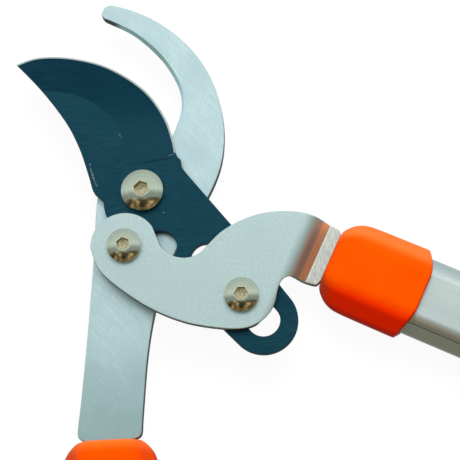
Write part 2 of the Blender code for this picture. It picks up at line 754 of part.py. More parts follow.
def handle(prefix, frame, tang_thickness):
    ferrule(prefix + "_ferrule", frame, tang_thickness)
    tube(prefix + "_tube", frame)
    insert(prefix + "_tang_insert", frame, tang_thickness)
    for i, distance in enumerate(RIVETS):
        rivet(f"{prefix}_rivet_{i + 1}", frame, distance)
    grip(prefix + "_grip", frame)
    end_cap(prefix + "_end_cap", frame)


# ---------------------------------------------------------------- pivots


def blade_pivot():
    fasteners("blade_pivot", M10, BLADE_TOP + HEAD_GAP, SCREW_END, HOOK_BOTTOM, ROOT, (0, 0), 20)


def lever_pivot():
    fasteners("lever_pivot", M8, LEVER_TOP + HEAD_GAP, SCREW_END, HOOK_BOTTOM, ROOT, LEVER_PIVOT, 15)
    inner = M8[2] / 2 + GAP
    spacer = ring("lever_pivot_spacer", inner, SPACER_RADIUS, BLADE_BOTTOM, BLADE_TOP, BUSH_BRASS)
    place(spacer, ROOT, (*LEVER_PIVOT, 0))


def drive_pin():
    angle = math.radians(LEVER_ANGLE)
    u, v = DRIVE_PIN_UV
    location = (u * math.cos(angle) - v * math.sin(angle), u * math.sin(angle) + v * math.cos(angle))
    end = BLADE_BOTTOM - 2 * GAP - WASHER_THICKNESS - NUT_HEIGHT - PIN_BELOW_NUT
    fasteners("drive_pin", M8, LEVER_TOP + HEAD_GAP, end, BLADE_BOTTOM, LEVER_SWING, location, 30)


def centre_on_origin():
    """Move the root so that the bounding box stands on the origin."""
    bpy.context.view_layer.update()
    graph = bpy.context.evaluated_depsgraph_get()
    low = Vector((1e9, 1e9, 1e9))
    high = -low
    for obj in BODY.objects:
        if obj.type != "MESH":
            continue
        solid = obj.evaluated_get(graph)
        for corner in solid.data.vertices:
            point = solid.matrix_world @ corner.co
            low = Vector(map(min, low, point))
            high = Vector(map(max, high, point))
    ROOT.location = (-(low.x + high.x) / 2, -(low.y + high.y) / 2, -low.z)


clear_scene()
BODY = new_collection("bypass_loppers")
CUTTERS = new_collection("cutters")
HOOK_STEEL = hook_steel()
LEVER_ZINC = lever_zinc()
BLADE_COATING = blade_coating()
SCREW_STEEL = screw_steel()
NUT_STEEL = nut_steel()
BUSH_BRASS = bush_brass()
HANDLE_ALUMINIUM = handle_aluminium()
ORANGE_PLASTIC = orange_plastic()
INSERT_PLASTIC = insert_plastic()
GRIP_RUBBER = grip_rubber()

ROOT = empty("loppers", (0, 0, 0), None)
BLADE_SWING = empty("blade_swing", (0, 0, 0), ROOT)
LEVER_SWING = empty("lever_swing", (*LEVER_PIVOT, 0), ROOT)
FIXED_FRAME = place(empty("fixed_handle", (0, 0, 0), ROOT), ROOT, (*FIXED_HANDLE, HANDLE_Z), -90)
LEVER_AXIS = place(empty("lever_axis", (0, 0, 0), LEVER_SWING), LEVER_SWING, (0, 0, HANDLE_Z), LEVER_ANGLE)
LEVER_FRAME = empty("lever_handle", (*LEVER_HANDLE_UV, 0), LEVER_AXIS)

hook_plate()
blade()
lever_plate()
blade_pivot()
lever_pivot()
drive_pin()
handle("fixed", FIXED_FRAME, HOOK_TOP - HOOK_BOTTOM)
handle("lever", LEVER_FRAME, LEVER_THICKNESS)
centre_on_origin()
CUTTERS.hide_render = True
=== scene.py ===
import json
import math

import bmesh
import bpy
from mathutils import Matrix, Vector


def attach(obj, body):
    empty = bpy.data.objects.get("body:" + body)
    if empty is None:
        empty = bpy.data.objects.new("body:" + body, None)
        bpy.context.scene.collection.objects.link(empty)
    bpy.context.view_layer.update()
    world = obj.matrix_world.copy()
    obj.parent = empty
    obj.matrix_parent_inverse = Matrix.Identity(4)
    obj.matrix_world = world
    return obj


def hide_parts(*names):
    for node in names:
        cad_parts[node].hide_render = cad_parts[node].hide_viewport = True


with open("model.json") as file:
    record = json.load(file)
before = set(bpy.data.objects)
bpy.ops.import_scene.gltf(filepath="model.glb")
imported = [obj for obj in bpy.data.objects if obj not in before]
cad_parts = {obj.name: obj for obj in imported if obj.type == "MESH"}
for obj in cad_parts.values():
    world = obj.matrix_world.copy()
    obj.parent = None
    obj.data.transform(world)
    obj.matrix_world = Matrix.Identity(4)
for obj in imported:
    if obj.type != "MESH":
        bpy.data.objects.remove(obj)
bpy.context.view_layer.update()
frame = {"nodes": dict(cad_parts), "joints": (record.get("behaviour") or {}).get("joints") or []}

MM = 0.001

# Heights above the floor and clearances, in millimetres, as the CAD parts have them.
HANDLE_Z = 15.0
HOOK_BOTTOM, HOOK_TOP = 12.5, 17.5
BLADE_BOTTOM, BLADE_TOP = 17.8, 21.5
LEVER_BOTTOM, LEVER_TOP = 21.8, 25.8
GAP = 0.3
HEAD_GAP = 0.2

# How far the plates' edges are rounded.
ROUNDING = 0.4
BLADE_ROUNDING = 0.22

# Where the pivots and handles are. The drawing frame's origin is the blade pivot.
# The lever's own frame starts at its pivot, and its first axis points close to the drive pin.
PIVOTS = {joint["name"]: Vector(joint["pos_m"]) for joint in frame["joints"]}
BLADE_PIVOT = Vector((*PIVOTS["blade_swing"].xy, 0.0))
LEVER_PIVOT = Vector((*PIVOTS["lever_swing"].xy, 0.0))
PIVOT_DISTANCE = (LEVER_PIVOT - BLADE_PIVOT).length / MM
LEVER_ANGLE = -27.0
DRIVE_PIN_UV = (52.4, 0.5)
FIXED_HANDLE = (-17.5, -101.8)
LEVER_HANDLE_UV = (78.8, 30.2)

# Screws: head diameter, head height, shank diameter, hex socket across flats, its depth, thread pitch.
M10 = (17.5, 5.5, 10.0, 5.7, 3.3, 1.5)
M8 = (14.0, 4.4, 8.0, 5.0, 2.7, 1.25)
BORE_CLEARANCE = 0.6
SCREW_END = 2.4
HEAD_RIM = 0.4  # the share of the head's height that its straight rim takes
HEAD_LIP = 0.3
THREAD_LENGTH = 9.0
POINT_CHAMFER = 0.8
WASHER_RADIUS = {M10: 10.0, M8: 8.0}
WASHER_THICKNESS = 1.6
NUT_ACROSS = {M10: 17.0, M8: 13.0}
NUT_HEIGHT, COLLAR_HEIGHT = 6.6, 1.6
COLLAR_STEP = 0.6
COLLAR_WALL = 1.3
PIN_BELOW_NUT = 1.8

# Blade.
TAIL_ANGLE = -50.4
SLOT_INNER, SLOT_OUTER = 39.6, 73.9
SLOT_HALF_WIDTH = 6.75
TAIL_RADIUS = 14.0
NOTCH_HALF_WIDTH = 7.0
NOTCH_END_ANGLE = -75.4
BEVEL_EDGE_THICKNESS = 0.5
FACET_WIDTH = 18.0
HONED_WIDTH = 0.85
HONED_DROP = 0.42
CUTTER_REACH = 3.0

# The fine teeth inside the hook: where they begin and end on the drawing, and their depth.
SERRATION = (30.0, 60.0, 0.3)

# The step in the lever plate: a soft bend, a slope and a tighter bend.
# It starts 0.15 mm later than the CAD's, which keeps the finer plate clear of the blade in every pose.
BEND_START = 62.65
BEND_ANGLE = math.radians(53)
UPPER_BEND, LOWER_BEND = 5.2, 2.2
BEND_DROP = (LEVER_BOTTOM + LEVER_TOP) / 2 - HANDLE_Z

# Handles: distances run backwards from the ferrule's front.
FERRULE_LENGTH = 40.2
TUBE_START, TUBE_END = 5.0, 550.0
TANG_HALF_WIDTH, TANG_END = 8.0, 52.0
RIVETS = (18.0, 34.0)
RIVET_DIAMETER = 5.0
GRIP_START, GRIP_END = 392.0, 556.0
CAP_LENGTH = 6.0
TUBE_WALL = 1.8
TUBE_FACE, TUBE_WIDTH, TUBE_HEIGHT, TUBE_EDGE = 10.9, 16.4, 10.0, 1.5
FACE_RADIUS, EDGE_RADIUS = 5.0, 1.4
HOLLOW_RADIUS, BORE_RADIUS = 4.0, 1.0
GROOVE_DEPTH = 0.7
GROOVE_SPOTS = (0.02, 0.025, 0.085, 0.10)  # the groove's corners, as shares of a flank
DRAW_BACK_LENGTH, DRAW_BACK = 14.0, 4.6

# The camera: its aim in millimetres from the blade pivot, lean per unit of height, turn, distance, lens.
CAMERA_AIM = (35.41, -18.8, 21.5)
CAMERA_LEAN = (0.067, -0.247)
CAMERA_TURN = -2.8
CAMERA_DISTANCE = 0.615
LENS = 117.4


# ---- shader helpers


class Nodes:
    """Short calls that add a node to a tree and return its output."""

    def __init__(self, tree):
        self.tree = tree

    def node(self, kind, **inputs):
        made = self.tree.nodes.new(kind)
        for name, value in inputs.items():
            self.feed(made.inputs[name.replace("_", " ")], value)
        return made

    def feed(self, socket, value):
        if isinstance(value, bpy.types.NodeSocket):
            self.tree.links.new(value, socket)
        else:
            socket.default_value = value

    def place(self, stretch=(1, 1, 1), turn=0.0, at=(0, 0, 0)):
        """Object coordinates in millimetres, moved, turned about Z and stretched."""
        source = self.node("ShaderNodeTexCoord").outputs["Object"]
        scaled = self.node("ShaderNodeVectorMath", Vector=source)
        scaled.operation = "SCALE"
        scaled.inputs["Scale"].default_value = 1 / MM
        mapping = self.node("ShaderNodeMapping", Vector=scaled.outputs[0], Location=at)
        mapping.vector_type = "TEXTURE"
        mapping.inputs["Rotation"].default_value = (0, 0, math.radians(turn))
        mapping.inputs["Scale"].default_value = stretch
        return mapping.outputs[0]

    def noise(self, vector, scale=1.0, detail=3.0, roughness=0.55):
        made = self.node("ShaderNodeTexNoise", Vector=vector, Scale=scale, Detail=detail, Roughness=roughness)
        return made.outputs["Fac"]

    def pattern(self, stretch=(1, 1, 1), turn=0.0, **settings):
        """Noise over the surface, stretched in millimetres."""
        return self.noise(self.place(stretch, turn), **settings)

    def span(self, value, low, high, to_low=0.0, to_high=1.0):
        made = self.node("ShaderNodeMapRange", Value=value)
        made.interpolation_type = "SMOOTHSTEP"
        for name, number in (("From Min", low), ("From Max", high), ("To Min", to_low), ("To Max", to_high)):
            made.inputs[name].default_value = number
        return made.outputs[0]

    def times(self, first, second):
        return self.math("MULTIPLY", first, second)

    def math(self, operation, first, second=0.0):
        made = self.node("ShaderNodeMath")
        made.operation = operation
        self.feed(made.inputs[0], first)
        self.feed(made.inputs[1], second)
        return made.outputs[0]

    def mix(self, factor, first, second):
        made = self.tree.nodes.new("ShaderNodeMix")
        made.data_type = "RGBA"
        for name, value in (("Factor", factor), ("A", first), ("B", second)):
            self.feed(made.inputs[name], (*value, 1.0) if isinstance(value, tuple) else value)
        return made.outputs["Result"]

    def blend(self, value, low, high, first, second, most=1.0):
        """The first colour, going over to the second as the value passes from low to high."""
        return self.mix(self.span(value, low, high, 0.0, most), first, second)

    def bump(self, height, distance, strength=1.0, below=None):
        """A bump whose depth is given in millimetres."""
        made = self.node("ShaderNodeBump", Height=height, Strength=strength, Distance=distance * MM)
        if below:
            self.feed(made.inputs["Normal"], below)
        return made.outputs[0]

    def mark(self, at, length, width, turn, low=0.05, high=0.6):
        """A soft mask over one oval spot, its place and size in millimetres."""
        local = self.place((length / 2, width / 2, 50.0), turn, (*at, 0.0))
        made = self.node("ShaderNodeTexGradient", Vector=local)
        made.gradient_type = "SPHERICAL"
        return self.span(made.outputs["Fac"], low, high)

    def axis(self, vector, name):
        return self.node("ShaderNodeSeparateXYZ", Vector=vector).outputs[name]


class Look(Nodes):
    """A material under construction, round its Principled shader."""

    def __init__(self, name, metallic=0.0, specular=0.5):
        self.material = bpy.data.materials.new(name)
        self.material.use_nodes = True
        super().__init__(self.material.node_tree)
        self.shader = self.tree.nodes["Principled BSDF"]
        self.shader.inputs["Metallic"].default_value = metallic
        self.shader.inputs["Specular IOR Level"].default_value = specular

    def color(self, value):
        self.feed(self.shader.inputs["Base Color"], value)

    def finish(self, value, low, high, bump=None):
        """Let the roughness follow a value and hand over the material."""
        self.feed(self.shader.inputs["Roughness"], self.span(value, 0.3, 0.7, low, high))
        if bump:
            self.feed(self.shader.inputs["Normal"], bump)
        return self.material


# ---- materials


def ground_steel():
    """The hook plate: surface-ground steel with fine crossing grind lines, painted darker towards its ferrule
    as shade.
    """
    look = Look("ground_steel", metallic=0.92)
    lines = look.pattern((0.18, 5.0, 1.0), -22, detail=4)
    cross = look.pattern((0.45, 7.0, 1.0), 40)
    cloud = look.pattern(scale=0.045)
    both = look.math("ADD", look.times(lines, 0.5), look.times(cross, 0.5))
    base = look.blend(both, 0.36, 0.64, (0.50, 0.66, 0.685), (0.61, 0.775, 0.80))
    base = look.blend(cloud, 0.35, 0.7, base, (0.48, 0.645, 0.67))
    # Painted shade: the plate is painted darker towards its ferrule, where less light falls.
    look.color(look.blend(look.axis(look.place(), "Y"), -52.0, -100.0, base, (0.25, 0.41, 0.40), 0.62))
    return look.finish(both, 0.44, 0.33, look.bump(both, 0.02, 0.5))


def blasted_zinc():
    """The lever plate: zinc over a stippled, blasted surface, scratched on its tang, with painted shade on
    its soft bend, a painted orange reflection on its slope and a painted highlight line at the foot of its
    step.
    """
    look = Look("blasted_zinc", metallic=0.9)
    grain = look.pattern(scale=1.5, roughness=0.6)
    spots = look.pattern(scale=0.45, detail=2)
    cloud = look.pattern(scale=0.05, detail=2)
    scratch = look.pattern((0.35, 3.0, 1.0), 28)
    along = look.axis(look.place(), "X")
    base = look.blend(grain, 0.32, 0.68, (0.46, 0.60, 0.595), (0.59, 0.73, 0.72))
    base = look.blend(spots, 0.62, 0.8, base, (0.38, 0.48, 0.48), 0.55)
    base = look.blend(cloud, 0.3, 0.7, base, (0.49, 0.65, 0.665), 0.5)
    tang = look.blend(scratch, 0.38, 0.62, (0.53, 0.565, 0.52), (0.72, 0.75, 0.69))
    base = look.blend(along, 72.8, 73.4, base, tang)
    # Painted highlight: a thin pale line along the foot of the step.
    line = look.times(look.span(along, 72.75, 72.95), look.span(along, 73.4, 73.2))
    base = look.mix(look.times(line, 0.7), base, (0.9, 0.9, 0.88))
    # Painted shade: the soft upper bend of the step is painted darker.
    soft = look.times(look.span(along, 64.5, 68.0, 0.0, 0.7), look.span(along, 70.6, 69.6))
    base = look.mix(soft, base, (0.36, 0.46, 0.42))
    # Painted reflection: the orange of the ferrule, painted on the slope of the step as if mirrored there.
    painted_orange_reflection = look.times(look.span(along, 69.6, 70.8, 0.0, 0.75), look.span(along, 72.9, 72.7))
    look.color(look.mix(painted_orange_reflection, base, (0.96, 0.70, 0.30)))
    return look.finish(grain, 0.48, 0.38, look.bump(grain, 0.05, 0.45, look.bump(spots, 0.08, 0.3)))


def cut_steel(name, dark, light, painted_light_spot=None):
    """The cut edges of a plate, with upright tear marks: their darkness is partly the cut steel's own and
    partly painted shade, and inside the bright oval they are painted lighter, as lit.
    """
    look = Look(name, metallic=0.9)
    tears = look.pattern((0.5, 0.5, 6.0))
    base = look.blend(tears, 0.3, 0.7, dark, light)
    if painted_light_spot:
        # Painted light: a lighter copy of the edge colours, laid over the edges inside the oval as where
        # light falls on them.
        clean = look.blend(tears, 0.3, 0.7, (0.50, 0.86, 0.94), (0.66, 0.98, 1.0))
        base = look.mix(look.mark(*painted_light_spot, 0, 0.04, 0.10), base, clean)
    look.color(base)
    return look.finish(tears, 0.6, 0.42, look.bump(tears, 0.08, 0.6))


# Rubbed marks on the blade: place, length, width, direction, strength.
BLADE_MARKS = (
    ((-8.6, 24.8), 3.2, 0.6, 121, 0.35),
    ((-21.6, 13.1), 1.4, 1.0, 100, 0.55),
    ((-20.7, 8.6), 9.0, 1.3, 105, 0.4),
    ((-19.3, 4.4), 3.6, 1.2, 108, 0.3),
    ((12.5, 14.9), 4.0, 0.6, 8, 0.4),
    ((8.4, -9.6), 1.6, 0.8, 20, 0.3),
)
# Painted shade: a near-black line along the ricasso, standing for the shade in a fine groove; place, length,
# width, direction.
RICASSO_LINE = ((4.9, 12.9), 24.0, 0.9, 5)


def blade_coating(name, dark, light, heel=None):
    """The blade: a dark blue-green coating over ground steel, with rubbed marks. Its heel may be lighter."""
    look = Look(name, metallic=0.96)
    grain = look.pattern((6.0, 0.4, 1.0), 6, detail=4)
    cloud = look.pattern(scale=0.07)
    fine = look.pattern(scale=1.6, detail=2)
    base = look.blend(grain, 0.3, 0.7, dark, light)
    base = look.blend(cloud, 0.35, 0.75, base, dark, 0.6)
    if heel:
        base = look.blend(look.axis(look.place(), "Y"), 48.0, 18.0, base, heel)
    # Painted shade: the groove line along the ricasso.
    base = look.mix(look.times(look.mark(*RICASSO_LINE), 0.6), base, (0.002, 0.010, 0.016))
    for at, length, width, turn, strength in BLADE_MARKS:
        worn = look.times(look.mark(at, length, width, turn), look.span(fine, 0.34, 0.54))
        base = look.mix(look.times(worn, strength), base, (0.44, 0.48, 0.46))
    look.color(base)
    return look.finish(grain, 0.50, 0.40, look.bump(grain, 0.012, 0.3, look.bump(fine, 0.01, 0.35)))


def one_pattern(name, dark, light, roughness, bump, metallic=1.0, **settings):
    """A material whose colour, roughness and bump all follow one pattern."""
    look = Look(name, metallic=metallic)
    pattern = look.pattern(**settings)
    look.color(look.blend(pattern, 0.3, 0.7, dark, light))
    return look.finish(pattern, *roughness, look.bump(pattern, *bump) if bump else None)


def honed_steel():
    """The sharpened strip along the cutting edge, left bare."""
    stretch = (0.12, 1.6, 1.0)
    colors = ((0.40, 0.47, 0.46), (0.58, 0.64, 0.62))
    return one_pattern("honed_steel", *colors, (0.42, 0.3), (0.01, 0.4), stretch=stretch, turn=50)


def brass():
    """The bush between the hook plate and the lever."""
    colors = ((0.52, 0.37, 0.14), (0.70, 0.52, 0.22))
    return one_pattern("brass", *colors, (0.4, 0.28), (0.02, 0.3), stretch=(8.0, 8.0, 0.3))


def nylon():
    """The locking ring inside each nut."""
    colors = ((0.07, 0.16, 0.34), (0.10, 0.21, 0.42))
    return one_pattern("nylon", *colors, (0.4, 0.52), None, metallic=0.0, scale=1.2, detail=2)


def black_plastic():
    """The inserts that hold the tangs inside the tubes: glass-filled nylon."""
    colors = ((0.018, 0.018, 0.019), (0.04, 0.04, 0.042))
    return one_pattern("black_plastic", *colors, (0.48, 0.62), (0.03, 0.4), metallic=0.0, scale=1.6)


def turned_nickel():
    """Screw heads: warm nickel plate, faintly turned in rings."""
    look = Look("turned_nickel", metallic=1.0)
    place = look.place()
    flat = look.node("ShaderNodeVectorMath", Vector=place)
    flat.operation = "MULTIPLY"
    flat.inputs[1].default_value = (1, 1, 0)
    length = look.node("ShaderNodeVectorMath", Vector=flat.outputs[0])
    length.operation = "LENGTH"
    noise = look.node("ShaderNodeTexNoise", Scale=3.2, Detail=3.0)
    noise.noise_dimensions = "1D"
    look.feed(noise.inputs["W"], length.outputs["Value"])
    rings = noise.outputs["Fac"]
    speckle = look.noise(place, scale=2.4, detail=2)
    base = look.blend(rings, 0.3, 0.7, (0.43, 0.49, 0.40), (0.55, 0.62, 0.51))
    look.color(look.blend(speckle, 0.55, 0.75, base, (0.40, 0.40, 0.29), 0.3))
    return look.finish(rings, 0.20, 0.13, look.bump(rings, 0.02, 0.3))


def painted_socket_shade_and_glint():
    """The hex sockets' sides and bottoms: a darker, brassy colour that is painted shade, with a painted
    highlight brightest in the drill point.
    """
    look = Look("painted_socket_shade_and_glint", metallic=1.0)
    tears = look.pattern((0.7, 0.7, 3.0), detail=2)
    # Painted shade: darker brassy tones for the inside of the socket.
    base = look.blend(tears, 0.3, 0.7, (0.38, 0.33, 0.17), (0.66, 0.60, 0.38))
    # Painted highlight: a pale spot in the drill point at the socket's bottom.
    look.color(look.mix(look.mark((0.2, -0.2), 2.0, 2.0, 0, 0.3, 0.6), base, (0.95, 0.92, 0.76)))
    return look.finish(tears, 0.4, 0.25)


def plated_steel():
    """Nuts, washers and rivets: zinc-plated steel with a slight bloom."""
    look = Look("plated_steel", metallic=1.0)
    bloom = look.pattern(scale=0.5, detail=4)
    fine = look.pattern(scale=4.0, detail=2)
    look.color(look.blend(bloom, 0.35, 0.7, (0.60, 0.61, 0.58), (0.47, 0.49, 0.49)))
    return look.finish(bloom, 0.28, 0.42, look.bump(fine, 0.02, 0.3))


def anodised_aluminium():
    """The handle tubes: satin anodised, with fine drawing lines along the tube."""
    look = Look("anodised_aluminium", metallic=0.9)
    lines = look.pattern((90.0, 0.25, 0.25), detail=4)
    cloud = look.pattern((60.0, 12.0, 12.0), detail=2)
    base = look.blend(lines, 0.3, 0.7, (0.53, 0.61, 0.595), (0.61, 0.685, 0.665))
    look.color(look.blend(cloud, 0.35, 0.7, base, (0.50, 0.585, 0.575), 0.6))
    return look.finish(lines, 0.42, 0.32, look.bump(lines, 0.02, 0.4))


def orange_plastic():
    """Ferrules and end caps: satin orange polypropylene with a fine moulded grain, with painted shade on
    steep and −Y-facing sides and painted light on +Y-facing sides.
    """
    look = Look("orange_plastic", specular=0.1)
    look.shader.inputs["Specular Tint"].default_value = (1.0, 0.42, 0.03, 1.0)
    grain = look.pattern(scale=2.6, detail=2)
    cloud = look.pattern(scale=0.06)
    flow = look.pattern((0.8, 9.0, 9.0), detail=2)
    base = look.blend(cloud, 0.35, 0.7, (0.56, 0.047, 0.0), (0.53, 0.042, 0.0))
    base = look.blend(flow, 0.55, 0.8, base, (0.58, 0.056, 0.0), 0.3)
    normal = look.node("ShaderNodeNewGeometry").outputs["Normal"]
    facing = look.axis(normal, "Y")
    # Painted shade: steep sides are painted darker.
    base = look.blend(look.axis(normal, "Z"), 0.8, 0.25, base, (0.45, 0.030, 0.0), 0.85)
    # Painted shade: sides facing −Y are painted darker and redder.
    base = look.blend(facing, -0.2, -0.7, base, (0.86, 0.012, 0.0), 0.8)
    # Painted light: sides facing +Y are painted lighter and yellower.
    look.color(look.blend(facing, 0.3, 0.8, base, (0.80, 0.15, 0.02), 0.5))
    return look.finish(grain, 0.40, 0.48, look.bump(grain, 0.012, 0.5, look.bump(flow, 0.02, 0.25)))


def grip_rubber():
    """Grip sleeves: black rubber with a fine pebble and a dusty bloom on the high spots."""
    look = Look("grip_rubber", specular=0.35)
    cells = look.node("ShaderNodeTexVoronoi", Vector=look.place(), Scale=0.85)
    cells.feature = "SMOOTH_F1"
    cloud = look.pattern(scale=0.05)
    fine = look.pattern(scale=3.0, detail=2)
    distance = cells.outputs["Distance"]
    base = look.blend(distance, 0.1, 0.7, (0.034, 0.034, 0.036), (0.016, 0.016, 0.017))
    look.color(look.blend(cloud, 0.4, 0.75, base, (0.055, 0.053, 0.05), 0.45))
    return look.finish(fine, 0.62, 0.8, look.bump(look.span(distance, 0.0, 0.75, 1.0, 0.0), 0.22, 0.8))


def pale_floor():
    """A lit sweep: it glows softly, so only faint shadows show on it."""
    look = Look("pale_floor", specular=0.0)
    cloud = look.pattern(scale=0.004, detail=2)
    look.color(look.mix(cloud, (0.038, 0.038, 0.038), (0.042, 0.042, 0.042)))
    look.feed(look.shader.inputs["Emission Color"], look.mix(cloud, (0.99, 0.99, 0.99), (1.0, 1.0, 1.0)))
    look.shader.inputs["Emission Strength"].default_value = 0.95
    return look.material


# ---- meshes and modifiers


def add(name, data):
    obj = bpy.data.objects.new(name, data)
    bpy.context.scene.collection.objects.link(obj)
    return obj


def object_from(name, mesh, looks):
    obj = add(name, mesh)
    for look in looks:
        mesh.materials.append(look)
    return obj


def mesh_from(bm, name):
    bmesh.ops.remove_doubles(bm, verts=bm.verts, dist=1e-6)
    bmesh.ops.recalc_face_normals(bm, faces=bm.faces)
    mesh = bpy.data.meshes.new(name)
    bm.to_mesh(mesh)
    bm.free()
    return mesh


def evaluated_mesh(obj):
    graph = bpy.context.evaluated_depsgraph_get()
    return bpy.data.meshes.new_from_object(obj.evaluated_get(graph))


def apply_modifiers(obj):
    mesh = evaluated_mesh(obj)
    obj.modifiers.clear()
    obj.data = mesh
    return obj


def settled(helper, looks):
    """A clean mesh object in place of a helper with a curve or modifiers."""
    name = helper.name
    bm = bmesh.new()
    bm.from_mesh(evaluated_mesh(helper))
    bpy.data.objects.remove(helper)
    return object_from(name, mesh_from(bm, name), looks)


def smooth(obj, degrees=35, weighted=True):
    mesh = obj.data
    mesh.shade_smooth()
    mesh.set_sharp_from_angle(angle=math.radians(degrees))
    if weighted:
        modifier = obj.modifiers.new("weighted_normals", "WEIGHTED_NORMAL")
        modifier.keep_sharp = True
        modifier.weight = 80
    return obj


def boolean(obj, cutter, operation="DIFFERENCE"):
    """Cut or join at once, then drop the cutter."""
    modifier = obj.modifiers.new("cut", "BOOLEAN")
    modifier.operation = operation
    modifier.solver = "EXACT"
    modifier.object = cutter
    apply_modifiers(obj)
    bpy.data.objects.remove(cutter)
    return obj


def install(obj, placement, body, slot, *nodes):
    """Put a finished piece at its place, on its body, in the stead of its CAD nodes."""
    obj.matrix_world = placement
    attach(obj, body)
    if nodes:
        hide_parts(*nodes)
    return obj


def placed(origin, height=0.0, angle=0.0):
    lifted = origin + Vector((0, 0, height * MM))
    return Matrix.Translation(lifted) @ Matrix.Rotation(math.radians(angle), 4, "Z")


def local(origin, angle, offset):
    """A point given in millimetres along and across a direction from an origin."""
    return origin + Matrix.Rotation(math.radians(angle), 3, "Z") @ Vector((offset[0] * MM, offset[1] * MM, 0))


# ---- outlines


def arc(center, radius, start, end, count):
    points = []
    for i in range(count):
        angle = math.radians(start + (end - start) * i / (count - 1))
        points.append((center[0] + radius * math.cos(angle), center[1] + radius * math.sin(angle)))
    return points


def polar(radius, degrees):
    return (radius * math.cos(math.radians(degrees)), radius * math.sin(math.radians(degrees)))


def catmull_rom(a, b, c, d, t):
    return 0.5 * (2 * b + (c - a) * t + (2 * a - 5 * b + 4 * c - d) * t**2 + (3 * b - a - 3 * c + d) * t**3)


def smooth_line(points, steps=10):
    """Points on a smooth curve through the given points (Catmull-Rom)."""
    padded = [points[0]] + list(points) + [points[-1]]
    line = []
    for p0, p1, p2, p3 in zip(padded, padded[1:], padded[2:], padded[3:]):
        for i in range(steps):
            line.append(tuple(catmull_rom(a, b, c, d, i / steps) for a, b, c, d in zip(p0, p1, p2, p3)))
    return line + [tuple(points[-1])]


def circle(center, radius, count=72):
    return arc(center, radius, 0, 360, count + 1)[:-1]


def bore(center, size):
    """The hole that a screw's shank passes through."""
    return circle(center, (size[2] + BORE_CLEARANCE) / 2)


def rivet_holes(start, way):
    """The rivets' holes in a tang that runs along `way` from the ferrule's front."""
    centers = [(start[0] + way[0] * distance, start[1] + way[1] * distance) for distance in RIVETS]
    return [circle(center, RIVET_DIAMETER / 2 + GAP, 40) for center in centers]


def slot_outline(inner, outer, half_width, degrees):
    ends = arc(polar(outer, degrees), half_width, degrees - 90, degrees + 90, 33)
    return ends + arc(polar(inner, degrees), half_width, degrees + 90, degrees + 270, 33)


def serrated(points, low, high, depth):
    """Split each stretch between two heights into fine teeth."""
    line = []
    for (ax, ay), (bx, by) in zip(points, points[1:] + points[:1]):
        line.append((ax, ay))
        if low < ay < high and ax > 0:
            line.append((ax + (bx - ax) * 0.5 + depth, ay + (by - ay) * 0.5))
    return line


def add_spline(curve, points):
    spline = curve.splines.new("POLY")
    spline.points.add(len(points) - 1)
    for point, (x, y) in zip(spline.points, points):
        point.co = (x * MM, y * MM, 0, 1)
    spline.use_cyclic_u = True


def plate(name, outline, holes, thickness, looks, rounding=ROUNDING):
    """A flat plate with rounded edges. Its cut sides take the second material."""
    curve = bpy.data.curves.new(name, "CURVE")
    curve.dimensions = "2D"
    curve.fill_mode = "BOTH"
    add_spline(curve, outline)
    for hole in holes:
        add_spline(curve, hole)
    curve.extrude = (thickness / 2 - rounding) * MM
    curve.bevel_depth = rounding * MM
    curve.bevel_resolution = 3
    curve.offset = -rounding * MM
    helper = add(name, curve)
    obj = settled(helper, looks)
    for polygon in obj.data.polygons:
        polygon.material_index = int(abs(polygon.normal.z) < 0.35)
    return obj


# ---- hook plate


# The inside of the hook: two coordinates and the width of the chamfer ground along it.
HOOK_INNER = [(4.5, 18.2, 0.15), (11.5, 23.4, 0.3), (15.2, 30.0, 0.7), (17.3, 38.2, 1.1), (15.9, 47.6, 1.2)]
HOOK_INNER += [(9.1, 60.2, 1.0), (-1.9, 71.8, 0.5), (-14.2, 79.2, 0.3)]
CHAMFER_DEPTH = 1.6


def tang_outline():
    """Distances along and across a tang, which starts just in front of its ferrule."""
    side, end = TANG_HALF_WIDTH, TANG_END
    near = [(-GAP, -side), (end - 3, -side), (end, 3 - side)]
    return near + [(along, -across) for along, across in reversed(near)]


def hook_outline():
    shoulder = FIXED_HANDLE[1] + GAP
    inner = [(x, y) for x, y, _ in HOOK_INNER]
    tip = [inner.pop(), (-15.5, 81.5), (-13.5, 84.6), (-9.6, 84.7)]
    back = [(0.0, 81.0), (9.0, 75.6), (17.0, 68.8), (23.7, 60.9), (29.0, 51.8), (32.6, 41.9), (34.5, 31.6)]
    back += [(34.6, 21.2), (32.9, 11.0), (29.2, 1.6), (23.6, -8.0), (17.0, -17.5), (11.2, -27.5)]
    bar_right = [(6.6, -38.0), (2.9, -49.8), (0.5, -60.0), (-1.2, -70.2), (-2.4, -80.0), (-3.9, -94.0)]
    right_corner = [(-4.3, -98.4), (-5.2, -100.5), (-7.4, shoulder)]
    x, y = FIXED_HANDLE
    tang = [(x - across, y - along) for along, across in tang_outline()]
    left_corner = [(-27.4, shoulder), (-29.4, -100.5), (-30.2, -98.4), (-29.8, -94.0)]
    bar_left = [(-28.3, -83.5), (-25.6, -61.7), (-23.6, -43.6), (-22.0, -28.3), (-20.9, -14.0), (-19.8, -2.0)]
    boss = [(-18.0, 6.0), (-12.5, 12.6), (-4.5, 16.2)]
    right_side = smooth_line(tip + back + bar_right + right_corner)
    left_side = smooth_line(left_corner + bar_left + boss + inner + [tip[0]])
    return right_side + tang + serrated(left_side[:-1], *SERRATION)


def hook_chamfer():
    """The lower and upper lines of the chamfer along the inside of the hook."""
    stations = smooth_line(HOOK_INNER)
    low, high = [], []
    for before, (x, y, width), after in zip(stations, stations[1:], stations[2:]):
        along = Vector((after[0] - before[0], after[1] - before[1])).normalized()
        low.append((x, y))
        high.append((x + along.y * width, y - along.x * width))
    return low, high


